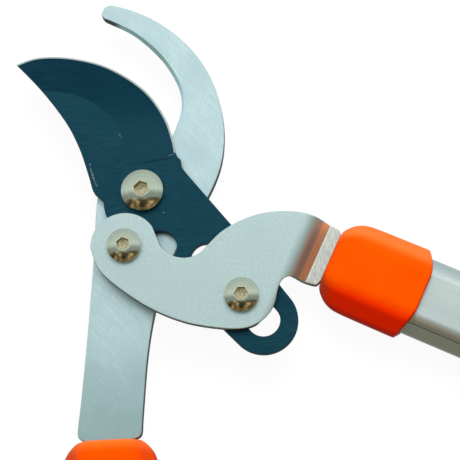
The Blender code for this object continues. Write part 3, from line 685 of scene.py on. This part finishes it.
def hook_plate(looks):
    lever_hole = (LEVER_PIVOT - BLADE_PIVOT) / MM
    holes = [bore((0, 0), M10), bore(lever_hole.xy, M8)] + rivet_holes(FIXED_HANDLE, (0, -1))
    obj = plate("hook", hook_outline(), holes, HOOK_TOP - HOOK_BOTTOM, looks)
    top = (HOOK_TOP - HOOK_BOTTOM) / 2
    span = (top - CHAMFER_DEPTH, top)
    boolean(obj, wedge("chamfer_cutter", *hook_chamfer(), *span, 1, looks, 0.2, top + CUTTER_REACH))
    smooth(obj)
    install(obj, placed(BLADE_PIVOT, (HOOK_TOP + HOOK_BOTTOM) / 2), "hook_handle", "hook_steel", "hook_plate")


# ---- blade

BLADE_TIP = (-52.8, 60.8)
CUTTING_EDGE = [BLADE_TIP, (-43.2, 63.3), (-28.9, 62.1), (-13.1, 56.7), (1.6, 45.8), (10.0, 33.1)]
CUTTING_EDGE += [(13.4, 22.0), (14.2, 16.0)]
BEVEL_LINE = [(-45.0, 47.5), (-38.0, 46.6), (-27.2, 44.1), (-18.8, 39.5), (-11.8, 32.8), (-8.6, 27.3)]
BEVEL_LINE += [(-6.8, 20.5), (-5.9, 11.0)]


def blade_outline():
    inner = PIVOT_DISTANCE - NOTCH_HALF_WIDTH
    shoulder = [(15.3, 13.6), (16.3, 12.6), (16.7, 9.4), (20.0, 4.6)]
    tail_end = arc(polar(SLOT_OUTER, TAIL_ANGLE), TAIL_RADIUS, TAIL_ANGLE + 82, TAIL_ANGLE - 90, 61)
    cap_center = polar(PIVOT_DISTANCE, NOTCH_END_ANGLE)
    nose = [(8.6, -35.8), (5.3, -33.9), (3.9, -32.4)]
    cap = arc(cap_center, NOTCH_HALF_WIDTH, -103, NOTCH_END_ANGLE + 180, 49)
    boss = arc((0, 0), inner, NOTCH_END_ANGLE - 12, -150, 5)
    neck = [(-16.6, -3.6), (-18.6, -0.9), (-20.6, 1.4)]
    back = [(-22.6, 9.0), (-26.0, 20.5), (-31.8, 33.1), (-41.8, 47.8)]
    edge = smooth_line(CUTTING_EDGE)
    right_side = smooth_line(shoulder) + [(35.9, -16.4)]
    left_side = smooth_line(boss + neck + back + [BLADE_TIP])
    return edge + right_side + tail_end + smooth_line(nose) + cap[:-1] + left_side[:-1]


def wedge(name, edge, line, low, high, look_index, looks, overlap=0.6, top=BLADE_TOP + CUTTER_REACH):
    """A cutter that leaves a slope from the edge line, at height `low`, up to the inner line, at `high`."""
    bm = bmesh.new()
    rows = []
    for (ex, ey), (bx, by) in zip(edge, line):
        outward = Vector((ex - bx, ey - by))
        slope = (high - low) / outward.length
        outer = Vector((ex, ey)) + outward.normalized() * CUTTER_REACH
        inner = Vector((bx, by)) - outward.normalized() * overlap
        corners = [(outer, low - CUTTER_REACH * slope), (inner, high + overlap * slope)]
        corners += [(inner, top), (outer, top)]
        rows.append([bm.verts.new((point.x * MM, point.y * MM, z * MM)) for point, z in corners])
    for first, second in zip(rows, rows[1:]):
        for i in range(4):
            bm.faces.new((first[i], first[(i + 1) % 4], second[(i + 1) % 4], second[i]))
    bm.faces.new(rows[0])
    bm.faces.new(rows[-1][::-1])
    bmesh.ops.triangulate(bm, faces=bm.faces)
    for face in bm.faces:
        face.material_index = look_index
    return object_from(name, mesh_from(bm, name), looks)


def blade(looks):
    """looks: coating, its cut edges, honed steel, coating over the ground facet."""
    holes = [bore((0, 0), M10), slot_outline(SLOT_INNER, SLOT_OUTER, SLOT_HALF_WIDTH, TAIL_ANGLE)]
    obj = plate("blade_body", blade_outline(), holes, BLADE_TOP - BLADE_BOTTOM, looks, BLADE_ROUNDING)
    obj.location = (0, 0, (BLADE_TOP + BLADE_BOTTOM) / 2 * MM)
    edge = smooth_line(CUTTING_EDGE)
    line = smooth_line(BEVEL_LINE)
    low = BLADE_BOTTOM + BEVEL_EDGE_THICKNESS
    bpy.context.view_layer.update()
    boolean(obj, wedge("facet_cutter", edge, line, low, BLADE_TOP, 3, looks))
    honed_line = []
    for outer, inner in zip(edge, line):
        way = (Vector(inner) - Vector(outer)).normalized()
        honed_line.append(tuple(Vector(outer) + way * HONED_WIDTH))
    honed_top = low + (BLADE_TOP - low) * HONED_WIDTH / FACET_WIDTH
    boolean(obj, wedge("honed_cutter", edge, honed_line, low - HONED_DROP, honed_top, 2, looks))
    smooth(obj, 25)
    install(obj, placed(BLADE_PIVOT, (BLADE_TOP + BLADE_BOTTOM) / 2), "blade", "blade_coating", "blade")


# ---- lever plate


def lever_outline():
    shoulder = LEVER_HANDLE_UV[0] - GAP
    boss = arc((0, 0), 14.0, 205, 60, 61)
    waist = [(10.6, 8.7), (14.2, 5.6), (19.4, 4.3), (25.2, 5.7), (29.4, 9.6), (31.3, 14.6)]
    crown = [(34.2, 21.8), (39.8, 29.3), (47.0, 35.6), (55.6, 40.0), (63.0, 42.1), (69.5, 43.0)]
    high_corner = [(75.2, 43.0), (77.6, 42.2), (shoulder, 39.9)]
    u, v = LEVER_HANDLE_UV
    tang = [(u + along, v - across) for along, across in tang_outline()]
    low_corner = [(shoulder, 20.4), (77.6, 18.1), (75.2, 17.3)]
    throat = [(69.0, 16.7), (65.9, 15.6), (64.3, 13.0), (64.2, 9.0)]
    nose = [(65.0, 3.4), (64.9, -1.4), (62.9, -7.4), (58.2, -11.8), (49.7, -15.3)]
    belly = [(36.4, -18.6), (21.8, -19.2), (6.0, -16.8), (-5.5, -12.9)]
    upper_side = boss[:-1] + smooth_line([boss[-1]] + waist + crown + high_corner)
    lower_side = smooth_line(low_corner + throat + nose + belly + [boss[0]])
    return upper_side + tang + lower_side[:-1]


def bend_lengths():
    """How far the soft bend, the slope and the tighter bend each reach along the lever plate."""
    fall = (UPPER_BEND + LOWER_BEND) * (1 - math.cos(BEND_ANGLE))
    slope = (BEND_DROP - fall) / math.tan(BEND_ANGLE)
    return UPPER_BEND * math.sin(BEND_ANGLE), slope, LOWER_BEND * math.sin(BEND_ANGLE)


def bend(u):
    """Height and slope of the middle of the lever plate at a distance u along it."""
    upper, slope, lower = bend_lengths()
    x = u - BEND_START
    left = upper + slope + lower - x
    if x <= 0:
        return 0.0, 0.0
    if x < upper:
        angle = math.asin(x / UPPER_BEND)
        return -UPPER_BEND * (1 - math.cos(angle)), angle
    if left >= lower:
        fall = UPPER_BEND * (1 - math.cos(BEND_ANGLE))
        return -fall - (x - upper) * math.tan(BEND_ANGLE), BEND_ANGLE
    if left > 0:
        angle = math.asin(left / LOWER_BEND)
        return -BEND_DROP + LOWER_BEND * (1 - math.cos(angle)), angle
    return -BEND_DROP, 0.0


def bend_plate(mesh):
    """Cut the flat plate across at the bends, then lay it over the step without changing its thickness."""
    end = BEND_START + sum(bend_lengths())
    bm = bmesh.new()
    bm.from_mesh(mesh)
    for i in range(11):
        sine = math.sin(BEND_ANGLE * i / 10)
        for u in (BEND_START + UPPER_BEND * sine, end - LOWER_BEND * sine):
            geometry = bm.verts[:] + bm.edges[:] + bm.faces[:]
            bmesh.ops.bisect_plane(bm, geom=geometry, dist=1e-7, plane_co=(u * MM, 0, 0), plane_no=(1, 0, 0))
    for vert in bm.verts:
        height, angle = bend(vert.co.x / MM)
        offset = vert.co.z
        vert.co.x += offset * math.sin(angle)
        vert.co.z = height * MM + offset * math.cos(angle)
    bm.to_mesh(mesh)
    bm.free()


def lever_plate(looks):
    holes = [bore((0, 0), M8), bore(DRIVE_PIN_UV, M8)] + rivet_holes(LEVER_HANDLE_UV, (1, 0))
    obj = plate("lever", lever_outline(), holes, LEVER_TOP - LEVER_BOTTOM, looks)
    bend_plate(obj.data)
    smooth(obj)
    placement = placed(LEVER_PIVOT, (LEVER_TOP + LEVER_BOTTOM) / 2, LEVER_ANGLE)
    install(obj, placement, "lever_handle", "lever_zinc", "lever_plate")


# ---- turned pieces


def turned(name, profile, looks, steps=96):
    """A solid or ring turned about Z. The profile runs down its outer side, from top to bottom."""
    bm = bmesh.new()
    verts = [bm.verts.new((r * MM, 0, z * MM)) for r, z in profile]
    for a, b in zip(verts, verts[1:]):
        bm.edges.new((a, b))
    if profile[0][0] > 0 and profile[-1][0] > 0:
        bm.edges.new((verts[-1], verts[0]))
    mesh = bpy.data.meshes.new(name)
    bm.to_mesh(mesh)
    bm.free()
    obj = object_from(name, mesh, looks)
    screw = obj.modifiers.new("turn", "SCREW")
    screw.steps = steps
    screw.render_steps = steps
    screw.use_merge_vertices = True
    screw.merge_threshold = 0.00001
    screw.use_normal_calculate = True
    return settled(obj, looks)


def round_edge(inside, corner, radius, turns=(90, 0), count=5):
    """Points that round a corner of a profile: centre offsets come from `inside`, a pair of signs."""
    center = (corner[0] + inside[0] * radius, corner[1] + inside[1] * radius)
    return arc(center, radius, turns[0], turns[1], count)


def ring(name, inner, outer, bottom, top, looks):
    soft = 0.25
    profile = [(inner, top)] + round_edge((-1, -1), (outer, top), soft)
    profile += round_edge((-1, 1), (outer, bottom), soft, (0, -90)) + [(inner, bottom)]
    return smooth(turned(name, profile, looks), weighted=False)


def prism(name, across, bottom, top, looks):
    """A hexagonal prism, its size given across the flats, with a corner on +X."""
    reach = across / math.sqrt(3)
    return turned(name, [(0, top), (reach, top), (reach, bottom), (0, bottom)], looks, 6)


def thread(shank_radius, pitch, top, bottom):
    """The profile of a threaded stretch, down its outer side, ending in a chamfer."""
    depth = 0.6 * pitch
    profile = []
    z = top
    while z - pitch > bottom + POINT_CHAMFER:
        profile += [(shank_radius, z), (shank_radius, z - pitch * 0.15)]
        profile += [(shank_radius - depth, z - pitch * 0.5), (shank_radius - depth, z - pitch * 0.6)]
        z -= pitch
    profile += [(shank_radius, z), (shank_radius, bottom + POINT_CHAMFER)]
    return profile + [(shank_radius - POINT_CHAMFER, bottom), (0, bottom)]


def button_screw(name, size, seat, end, looks):
    """A button-head screw: a domed head with a hex socket, a shank and a threaded end."""
    head, height, shank, socket, depth, pitch = size
    crown = socket / math.sqrt(3) + 0.2
    rise = height * (1 - HEAD_RIM)
    ball = ((head / 2) ** 2 + rise**2) / (2 * rise)
    top = seat + height
    flat = top - (ball - math.sqrt(ball**2 - crown**2))
    profile = [(0, flat), (crown, flat)]
    steps = 22
    for i in range(1, steps + 1):
        radius = crown + (head / 2 - HEAD_LIP - crown) * i / steps
        profile.append((radius, top - (ball - math.sqrt(ball**2 - radius**2))))
    profile += round_edge((-1, -1), (head / 2, profile[-1][1] - 0.05), 0.25, (50, 0))
    profile += [(head / 2, seat + 0.3), (head / 2 - 0.3, seat), (shank / 2, seat)]
    profile += thread(shank / 2, pitch, end + THREAD_LENGTH, end)
    obj = turned(name, profile, looks)
    reach = socket / math.sqrt(3)
    shape = [(0, top + 1), (reach, top + 1), (reach, top - depth), (0, top - depth)]
    bottom = [(0, top - depth + 0.01), (socket * 0.46, top - depth + 0.01), (0, top - depth - socket * 0.2)]
    drill_point = turned(name + "_drill_point", bottom, looks, 48)
    for cutter in (turned(name + "_socket", shape, looks, 6), drill_point):
        # The socket's faces take the second material: its painted shade and highlight.
        for polygon in cutter.data.polygons:
            polygon.material_index = 1
        boolean(obj, cutter)
    return smooth(obj, 28)


def lock_nut(name, across, bore, bottom, top, looks):
    """A lock nut: a hexagon with chamfered corners, and below it a round collar that holds a nylon ring."""
    hexagon_bottom = bottom + COLLAR_HEIGHT
    obj = prism(name, across, hexagon_bottom, top, looks)
    reach = across / math.sqrt(3)
    lowest = hexagon_bottom - 0.01
    shape = [(0, top + 0.01), (across / 2 + 0.1, top + 0.01), (reach + 0.1, top - 0.7)]
    shape += [(reach + 0.1, hexagon_bottom + 0.9), (across / 2 - 0.1, lowest), (0, lowest)]
    boolean(obj, turned(name + "_trim", shape, looks), "INTERSECT")
    edge = across / 2 - COLLAR_STEP
    body = [(0, hexagon_bottom + 0.5), (edge, hexagon_bottom + 0.5)]
    body += round_edge((-1, 1), (edge, bottom), 0.8, (0, -90)) + [(0, bottom)]
    boolean(obj, turned(name + "_collar", body, looks), "UNION")
    hole = [(0, top + 2), (bore / 2 + 0.8, top + 2), (bore / 2 + 0.8, top + 0.01), (bore / 2, top - 0.8)]
    inside = edge - COLLAR_WALL
    hole += [(bore / 2, bottom + 1.9), (inside, bottom + 1.9), (inside, bottom - 2), (0, bottom - 2)]
    boolean(obj, turned(name + "_bore", hole, looks))
    return smooth(obj, 28)


def nylon_ring(name, across, bore, bottom, looks):
    outer = across / 2 - COLLAR_STEP - COLLAR_WALL - 0.05
    profile = [(bore / 2, bottom + 1.85), (outer, bottom + 1.85)]
    profile += [(outer, bottom + 0.25), (bore / 2, bottom + 0.35)]
    return smooth(turned(name, profile, looks), weighted=False)


def pivot(name, size, seat, end, place, height, body, turn, looks):
    """A screw, its washer and its lock nut. `height` is the underside that the washer bears on."""
    # `wall` is the sockets' material: painted shade with a painted highlight.
    steel, wall, plated, insert = looks
    across = NUT_ACROSS[size]
    hole = size[2] + BORE_CLEARANCE
    washer_top = height - GAP
    washer_bottom = washer_top - WASHER_THICKNESS
    nut_top = washer_bottom - GAP
    nut_bottom = nut_top - NUT_HEIGHT
    screw = button_screw(name + "_bolt", size, seat, end, [steel, wall])
    install(screw, placed(place, 0, turn), body, "screw_steel", name + "_screw")
    inner = size[2] / 2 + GAP
    washer = ring(name + "_plain_washer", inner, WASHER_RADIUS[size], washer_bottom, washer_top, [plated])
    install(washer, placed(place), body, "nut_steel", name + "_washer")
    nut = lock_nut(name + "_lock_nut", across, hole, nut_bottom, nut_top, [plated])
    install(nut, placed(place, 0, turn + 11), body, "nut_steel", name + "_nut")
    install(nylon_ring(name + "_nylon", across, hole, nut_bottom, [insert]), placed(place), body, "nut_steel")


# ---- handle pieces


def fillet(corners, radii, steps):
    """A closed polygon with each corner rounded to an arc of its own radius."""
    points = []
    count = len(corners)
    for i, corner in enumerate(corners):
        radius = radii[i % len(radii)]
        here = Vector(corner)
        before = (Vector(corners[i - 1]) - here).normalized()
        after = (Vector(corners[(i + 1) % count]) - here).normalized()
        half = before.angle(after) / 2
        length = radius / math.tan(half)
        center = here + (before + after).normalized() * radius / math.sin(half)
        start = here + before * length - center
        end = here + after * length - center
        for k in range(steps + 1):
            points.append(tuple(center + start.slerp(end, k / steps).normalized() * radius))
    return points


def rounded_rectangle(half_width, half_height, radius, steps=8):
    corners = [(half_width, half_height), (-half_width, half_height)]
    corners += [(-half_width, -half_height), (half_width, -half_height)]
    return fillet(corners, (radius,), steps)


def six_sided(face, width, height, edge, face_radius, edge_radius, steps=6):
    """The oval section of the handles: flat faces above and below, sloping flanks, narrow sides."""
    corners = [(face, height), (-face, height), (-width, edge), (-width, -edge)]
    corners += [(-face, -height), (face, -height), (width, -edge), (width, edge)]
    radii = (face_radius, face_radius, edge_radius, edge_radius)
    return fillet(corners, radii, steps)


def tube_section(grow, radius):
    face = TUBE_FACE + 0.564 * grow
    edge = TUBE_EDGE + 0.28 * grow
    return six_sided(face, TUBE_WIDTH + grow, TUBE_HEIGHT + grow, edge, radius, min(radius, EDGE_RADIUS))


def loft(name, rings, looks):
    """A solid through rings of equal count. Each ring is (distance along the handle, points)."""
    bm = bmesh.new()
    rows = []
    for distance, points in rings:
        rows.append([bm.verts.new((distance * MM, y * MM, z * MM)) for y, z in points])
    for first, second in zip(rows, rows[1:]):
        for i in range(len(first)):
            j = (i + 1) % len(first)
            bm.faces.new((first[i], first[j], second[j], second[i]))
    bm.faces.new(rows[0][::-1])
    bm.faces.new(rows[-1])
    return object_from(name, mesh_from(bm, name), looks)


def bar(name, points, start, end, looks):
    return loft(name, [(start, points), (end, points)], looks)


def swept(stations, section, steps=6):
    """Rings through stations of numbers, eased between them; `section` turns the numbers into points."""
    return [(row[0], section(*row[1:])) for row in smooth_line(stations, steps)]


def ferrule_section(face, width, height, soft):
    return six_sided(face, width, height, height * 0.2, soft, soft * 0.75, 8)


def draw_back(obj, start, reach):
    """Bow the ferrule's back end: its flanks end further forward than its faces."""
    for vert in obj.data.vertices:
        along = (vert.co.x / MM - start) / (FERRULE_LENGTH - start)
        across = (abs(vert.co.y) / MM - 7.0) / 12.5
        if along > 0 and across > 0:
            vert.co.x -= reach * MM * along**1.5 * across**1.6
    return obj


def ferrule(prefix, placement, body, tang_thickness, looks):
    stations = [
        (0.0, 8.6, 12.6, 8.6, 5.0), (0.5, 9.3, 13.5, 9.5, 5.6), (1.6, 10.3, 14.9, 10.6, 6.4),
        (4.0, 11.1, 17.0, 12.0, 7.8), (7.0, 11.3, 18.5, 12.9, 8.6), (11.0, 11.3, 19.2, 13.3, 9.2),
        (20.0, 11.3, 19.4, 13.5, 9.5),
        (FERRULE_LENGTH - 2.4, 11.3, 19.5, 13.5, 9.5),
        (FERRULE_LENGTH - 0.9, 11.1, 19.2, 13.3, 9.2),
        (FERRULE_LENGTH - 0.25, 10.8, 18.6, 12.8, 8.8),
        (FERRULE_LENGTH, 10.5, 18.0, 12.3, 8.4),
    ]
    obj = loft(prefix + "_collar", swept(stations, ferrule_section), looks)
    boolean(obj, bar("hollow", tube_section(GAP, HOLLOW_RADIUS), TUBE_START - GAP, FERRULE_LENGTH + 2, looks))
    mouth = rounded_rectangle(TANG_HALF_WIDTH + GAP, tang_thickness / 2 + GAP, 0.8)
    boolean(obj, bar("mouth", mouth, -2, TUBE_START + 2, looks))
    draw_back(obj, FERRULE_LENGTH - DRAW_BACK_LENGTH, DRAW_BACK)
    install(smooth(obj, 40), placement, body, "orange_plastic", prefix + "_ferrule")


def grooved_section():
    """The tube's outside, with a fine groove at the upper end of each flank."""
    section = tube_section(0, FACE_RADIUS)
    points = []
    for here, there in zip(section, section[1:] + section[:1]):
        points.append(here)
        flank = abs(there[0] - here[0]) > 2 and abs(there[1] - here[1]) > 4
        if not flank:
            continue
        falling = abs(here[1]) > abs(there[1])
        spots = GROOVE_SPOTS if falling else [1 - spot for spot in reversed(GROOVE_SPOTS)]
        inward = -Vector(here).normalized() * GROOVE_DEPTH
        for spot, depth in zip(spots, (0, 1, 1, 0)):
            points.append(tuple(Vector(here).lerp(Vector(there), spot) + inward * depth))
    return points


def tube(prefix, placement, body, looks):
    obj = bar(prefix + "_handle_tube", grooved_section(), TUBE_START, TUBE_END, looks)
    boolean(obj, bar("hollow", tube_section(-TUBE_WALL, BORE_RADIUS), TUBE_START - 2, TUBE_END + 2, looks))
    for distance in RIVETS:
        hole = [(0, 15.0), (RIVET_DIAMETER / 2 + GAP, 15.0), (RIVET_DIAMETER / 2 + GAP, -15.0), (0, -15.0)]
        cutter = turned("hole", hole, looks, 32)
        cutter.location = (distance * MM, 0, 0)
        bpy.context.view_layer.update()
        boolean(obj, cutter)
    install(smooth(obj, 24), placement, body, "handle_aluminium", prefix + "_tube")


RIB_PITCH = 6.0
RIB_DEPTH = 0.7


def grip_stations():
    """Distance, half width and half height along the grip, with shallow ribs round its middle."""
    ends = [(0, 18.0, 12.0), (0.8, 19.2, 13.2), (2.5, 20.0, 14.0), (9, 21.0, 15.0), (16, 19.6, 15.0)]
    length = GRIP_END - GRIP_START
    stations = [(GRIP_START + d, w, h) for d, w, h in ends]
    first, last = GRIP_START + 24, GRIP_START + length - 22
    count = int((last - first) / RIB_PITCH)
    for i in range(count):
        for part, depth in ((0.0, 0.0), (0.62, 0.0), (0.74, 1.0), (0.88, 1.0)):
            distance = first + (i + part) * RIB_PITCH
            swell = 1.2 * math.sin(math.pi * (distance - first) / (last - first))
            stations.append((distance, 18.8 + swell - RIB_DEPTH * depth, 15.0 - RIB_DEPTH * depth))
    stations += [(GRIP_END - 16, 19.2, 15.0), (GRIP_END - 10, 20.5, 15.0), (GRIP_END - 2.5, 21.45, 15.0)]
    return stations + [(GRIP_END - 0.8, 21.4, 14.9), (GRIP_END, 20.8, 14.4)]


def grip(prefix, placement, body, looks):
    rings = []
    for distance, width, height in grip_stations():
        rings.append((distance, rounded_rectangle(width, height, min(10.4, height - 3), 10)))
    obj = loft(prefix + "_sleeve", rings, looks)
    boolean(obj, bar("hollow", tube_section(GAP, HOLLOW_RADIUS), GRIP_START - 2, GRIP_END + 2, looks))
    install(smooth(obj, 50), placement, body, "grip_rubber", prefix + "_grip")


def end_cap(prefix, placement, body, looks):
    start = GRIP_END + GAP
    stations = [
        (start, 20.4, 14.2, 10.0),
        (start + 0.2, 20.9, 14.7, 10.3),
        (start + 0.7, 21.2, 15.0, 10.5),
        (start + CAP_LENGTH - 2.6, 20.8, 14.8, 10.5),
        (start + CAP_LENGTH - 1.2, 20.0, 14.1, 10.0),
        (start + CAP_LENGTH - 0.3, 18.5, 12.7, 9.0),
        (start + CAP_LENGTH, 17.2, 11.4, 7.8),
    ]
    obj = loft(prefix + "_butt", swept(stations, rounded_rectangle, 4), looks)
    boolean(obj, bar("plug", tube_section(-TUBE_WALL - GAP, BORE_RADIUS), 528.0, start + 1.5, looks), "UNION")
    install(smooth(obj, 40), placement, body, "orange_plastic", prefix + "_end_cap")


def handle(prefix, placement, body, tang_thickness, orange, aluminium, rubber):
    ferrule(prefix, placement, body, tang_thickness, [orange])
    tube(prefix, placement, body, [aluminium])
    grip(prefix, placement, body, [rubber])
    end_cap(prefix, placement, body, [orange])


def repaint(names, look):
    for name in names:
        mesh = frame["nodes"][name].data
        mesh.materials.clear()
        mesh.materials.append(look)


# ---- studio


def studio_world():
    """Soft light from above and behind, and a dark front with warm blotches, which the screw heads mirror."""
    made = bpy.data.worlds.new("studio")
    made.use_nodes = True
    bpy.context.scene.world = made
    look = Nodes(made.node_tree)
    way = look.node("ShaderNodeTexCoord").outputs["Generated"]
    x, y, z = (look.axis(way, name) for name in ("X", "Y", "Z"))
    fade = look.times(look.span(y, -0.06, 0.27), look.span(y, 0.60, 0.32, 0.8, 1.0))
    low_sky = look.mix(fade, (0.33, 0.34, 0.30), (0.80, 0.86, 0.88))
    high_sky = look.mix(fade, (0.44, 0.46, 0.44), (1.0, 1.04, 1.05))
    sky = look.blend(z, 0.0, 0.7, low_sky, high_sky)
    blotches = look.noise(way, scale=3.4, detail=4)
    figure = look.blend(blotches, 0.42, 0.54, (0.03, 0.027, 0.02), (0.34, 0.21, 0.09))
    figure = look.blend(blotches, 0.57, 0.64, figure, (1.3, 0.92, 0.54))
    front = look.math("ADD", y, look.times(look.math("ABSOLUTE", x), -0.18))
    sky = look.blend(front, -0.36, -0.46, sky, figure)
    ground = look.blend(y, -0.3, 0.4, (0.26, 0.25, 0.185), (0.60, 0.70, 0.71))
    ground = look.blend(z, -0.5, -0.8, ground, (0.34, 0.38, 0.38))
    color = look.blend(z, -0.10, 0.0, ground, sky)
    look.feed(look.tree.nodes["Background"].inputs["Color"], color)


def soft_light(name, offset, size, power):
    """A large soft light over the head of the loppers, which adds shade but no reflection."""
    data = bpy.data.lights.new(name, "AREA")
    data.shape = "DISK"
    data.size = size
    data.energy = power
    light = add(name, data)
    aim = BLADE_PIVOT + Vector(CAMERA_AIM) * MM
    light.location = aim + Vector(offset)
    light.rotation_euler = (-Vector(offset)).to_track_quat("-Z", "Y").to_euler()
    light.visible_glossy = False


def floor(look):
    bm = bmesh.new()
    bmesh.ops.create_grid(bm, x_segments=1, y_segments=1, size=15.0)
    obj = object_from("studio_floor", mesh_from(bm, "studio_floor"), [look])
    for ray in ("glossy", "diffuse", "shadow"):
        setattr(obj, "visible_" + ray, False)


def camera():
    turn = Matrix.Rotation(math.radians(CAMERA_TURN), 3, "Z")
    back = (turn @ Vector((*CAMERA_LEAN, 1.0))).normalized()
    right = (turn @ Vector((0, 1, 0))).cross(back).normalized()
    up = back.cross(right)
    data = bpy.data.cameras.new("camera")
    data.lens = LENS
    data.clip_start = 0.01
    obj = add("camera", data)
    place = BLADE_PIVOT + Vector(CAMERA_AIM) * MM + back * CAMERA_DISTANCE
    obj.matrix_world = Matrix.Translation(place) @ Matrix((right, up, back)).transposed().to_4x4()
    bpy.context.scene.camera = obj


# ---- the loppers


def build():
    # The plates' cut edges: a dark tone that is partly the cut steel's own and partly painted shade.
    dark_edge_and_shade = ((0.05, 0.06, 0.06), (0.13, 0.155, 0.155))
    coatings = [
        blade_coating("blade_coating", (0.009, 0.058, 0.088), (0.017, 0.078, 0.112)),
        # Painted shade: the blade's cut edges take a darker copy of its coating.
        blade_coating("blade_edges", (0.004, 0.018, 0.026), (0.010, 0.040, 0.056)),
        blade_coating("blade_facet", (0.0035, 0.034, 0.058), (0.007, 0.048, 0.078), (0.012, 0.064, 0.094)),
    ]
    screws = (turned_nickel(), painted_socket_shade_and_glint(), plated_steel(), nylon())
    orange = orange_plastic()
    aluminium = anodised_aluminium()
    rubber = grip_rubber()
    # The hook's edges are painted lighter, as lit, within a wide oval round the hook.
    hook_plate([ground_steel(), cut_steel("hook_edges", *dark_edge_and_shade, ((-8.0, 40.0), 78.0, 78.0))])
    blade([coatings[0], coatings[1], honed_steel(), coatings[2]])
    lever_plate([blasted_zinc(), cut_steel("lever_edges", *dark_edge_and_shade)])
    pin = local(LEVER_PIVOT, LEVER_ANGLE, DRIVE_PIN_UV)
    lever_seat = LEVER_TOP + HEAD_GAP
    pin_end = BLADE_BOTTOM - 2 * GAP - WASHER_THICKNESS - NUT_HEIGHT - PIN_BELOW_NUT
    seat = BLADE_TOP + HEAD_GAP
    pivot("blade_pivot", M10, seat, SCREW_END, BLADE_PIVOT, HOOK_BOTTOM, "hook_handle", -19, screws)
    pivot("lever_pivot", M8, lever_seat, SCREW_END, LEVER_PIVOT, HOOK_BOTTOM, "hook_handle", -23, screws)
    pivot("drive_pin", M8, lever_seat, pin_end, pin, BLADE_BOTTOM, "lever_handle", -3, screws)
    fixed = placed(local(BLADE_PIVOT, 0, FIXED_HANDLE), HANDLE_Z, -90)
    moving = placed(local(LEVER_PIVOT, LEVER_ANGLE, LEVER_HANDLE_UV), HANDLE_Z, LEVER_ANGLE)
    handle("fixed", fixed, "hook_handle", HOOK_TOP - HOOK_BOTTOM, orange, aluminium, rubber)
    handle("lever", moving, "lever_handle", LEVER_TOP - LEVER_BOTTOM, orange, aluminium, rubber)
    repaint(["fixed_tang_insert", "lever_tang_insert"], black_plastic())
    repaint(["lever_pivot_spacer"], brass())
    repaint([f"{prefix}_rivet_{i}" for prefix in ("fixed", "lever") for i in (1, 2)], screws[2])


build()
studio_world()
soft_light("key_light", (0.12, 0.40, 0.75), 0.7, 15.0)
floor(pale_floor())
camera()
bpy.context.scene.view_settings.view_transform = "Standard"
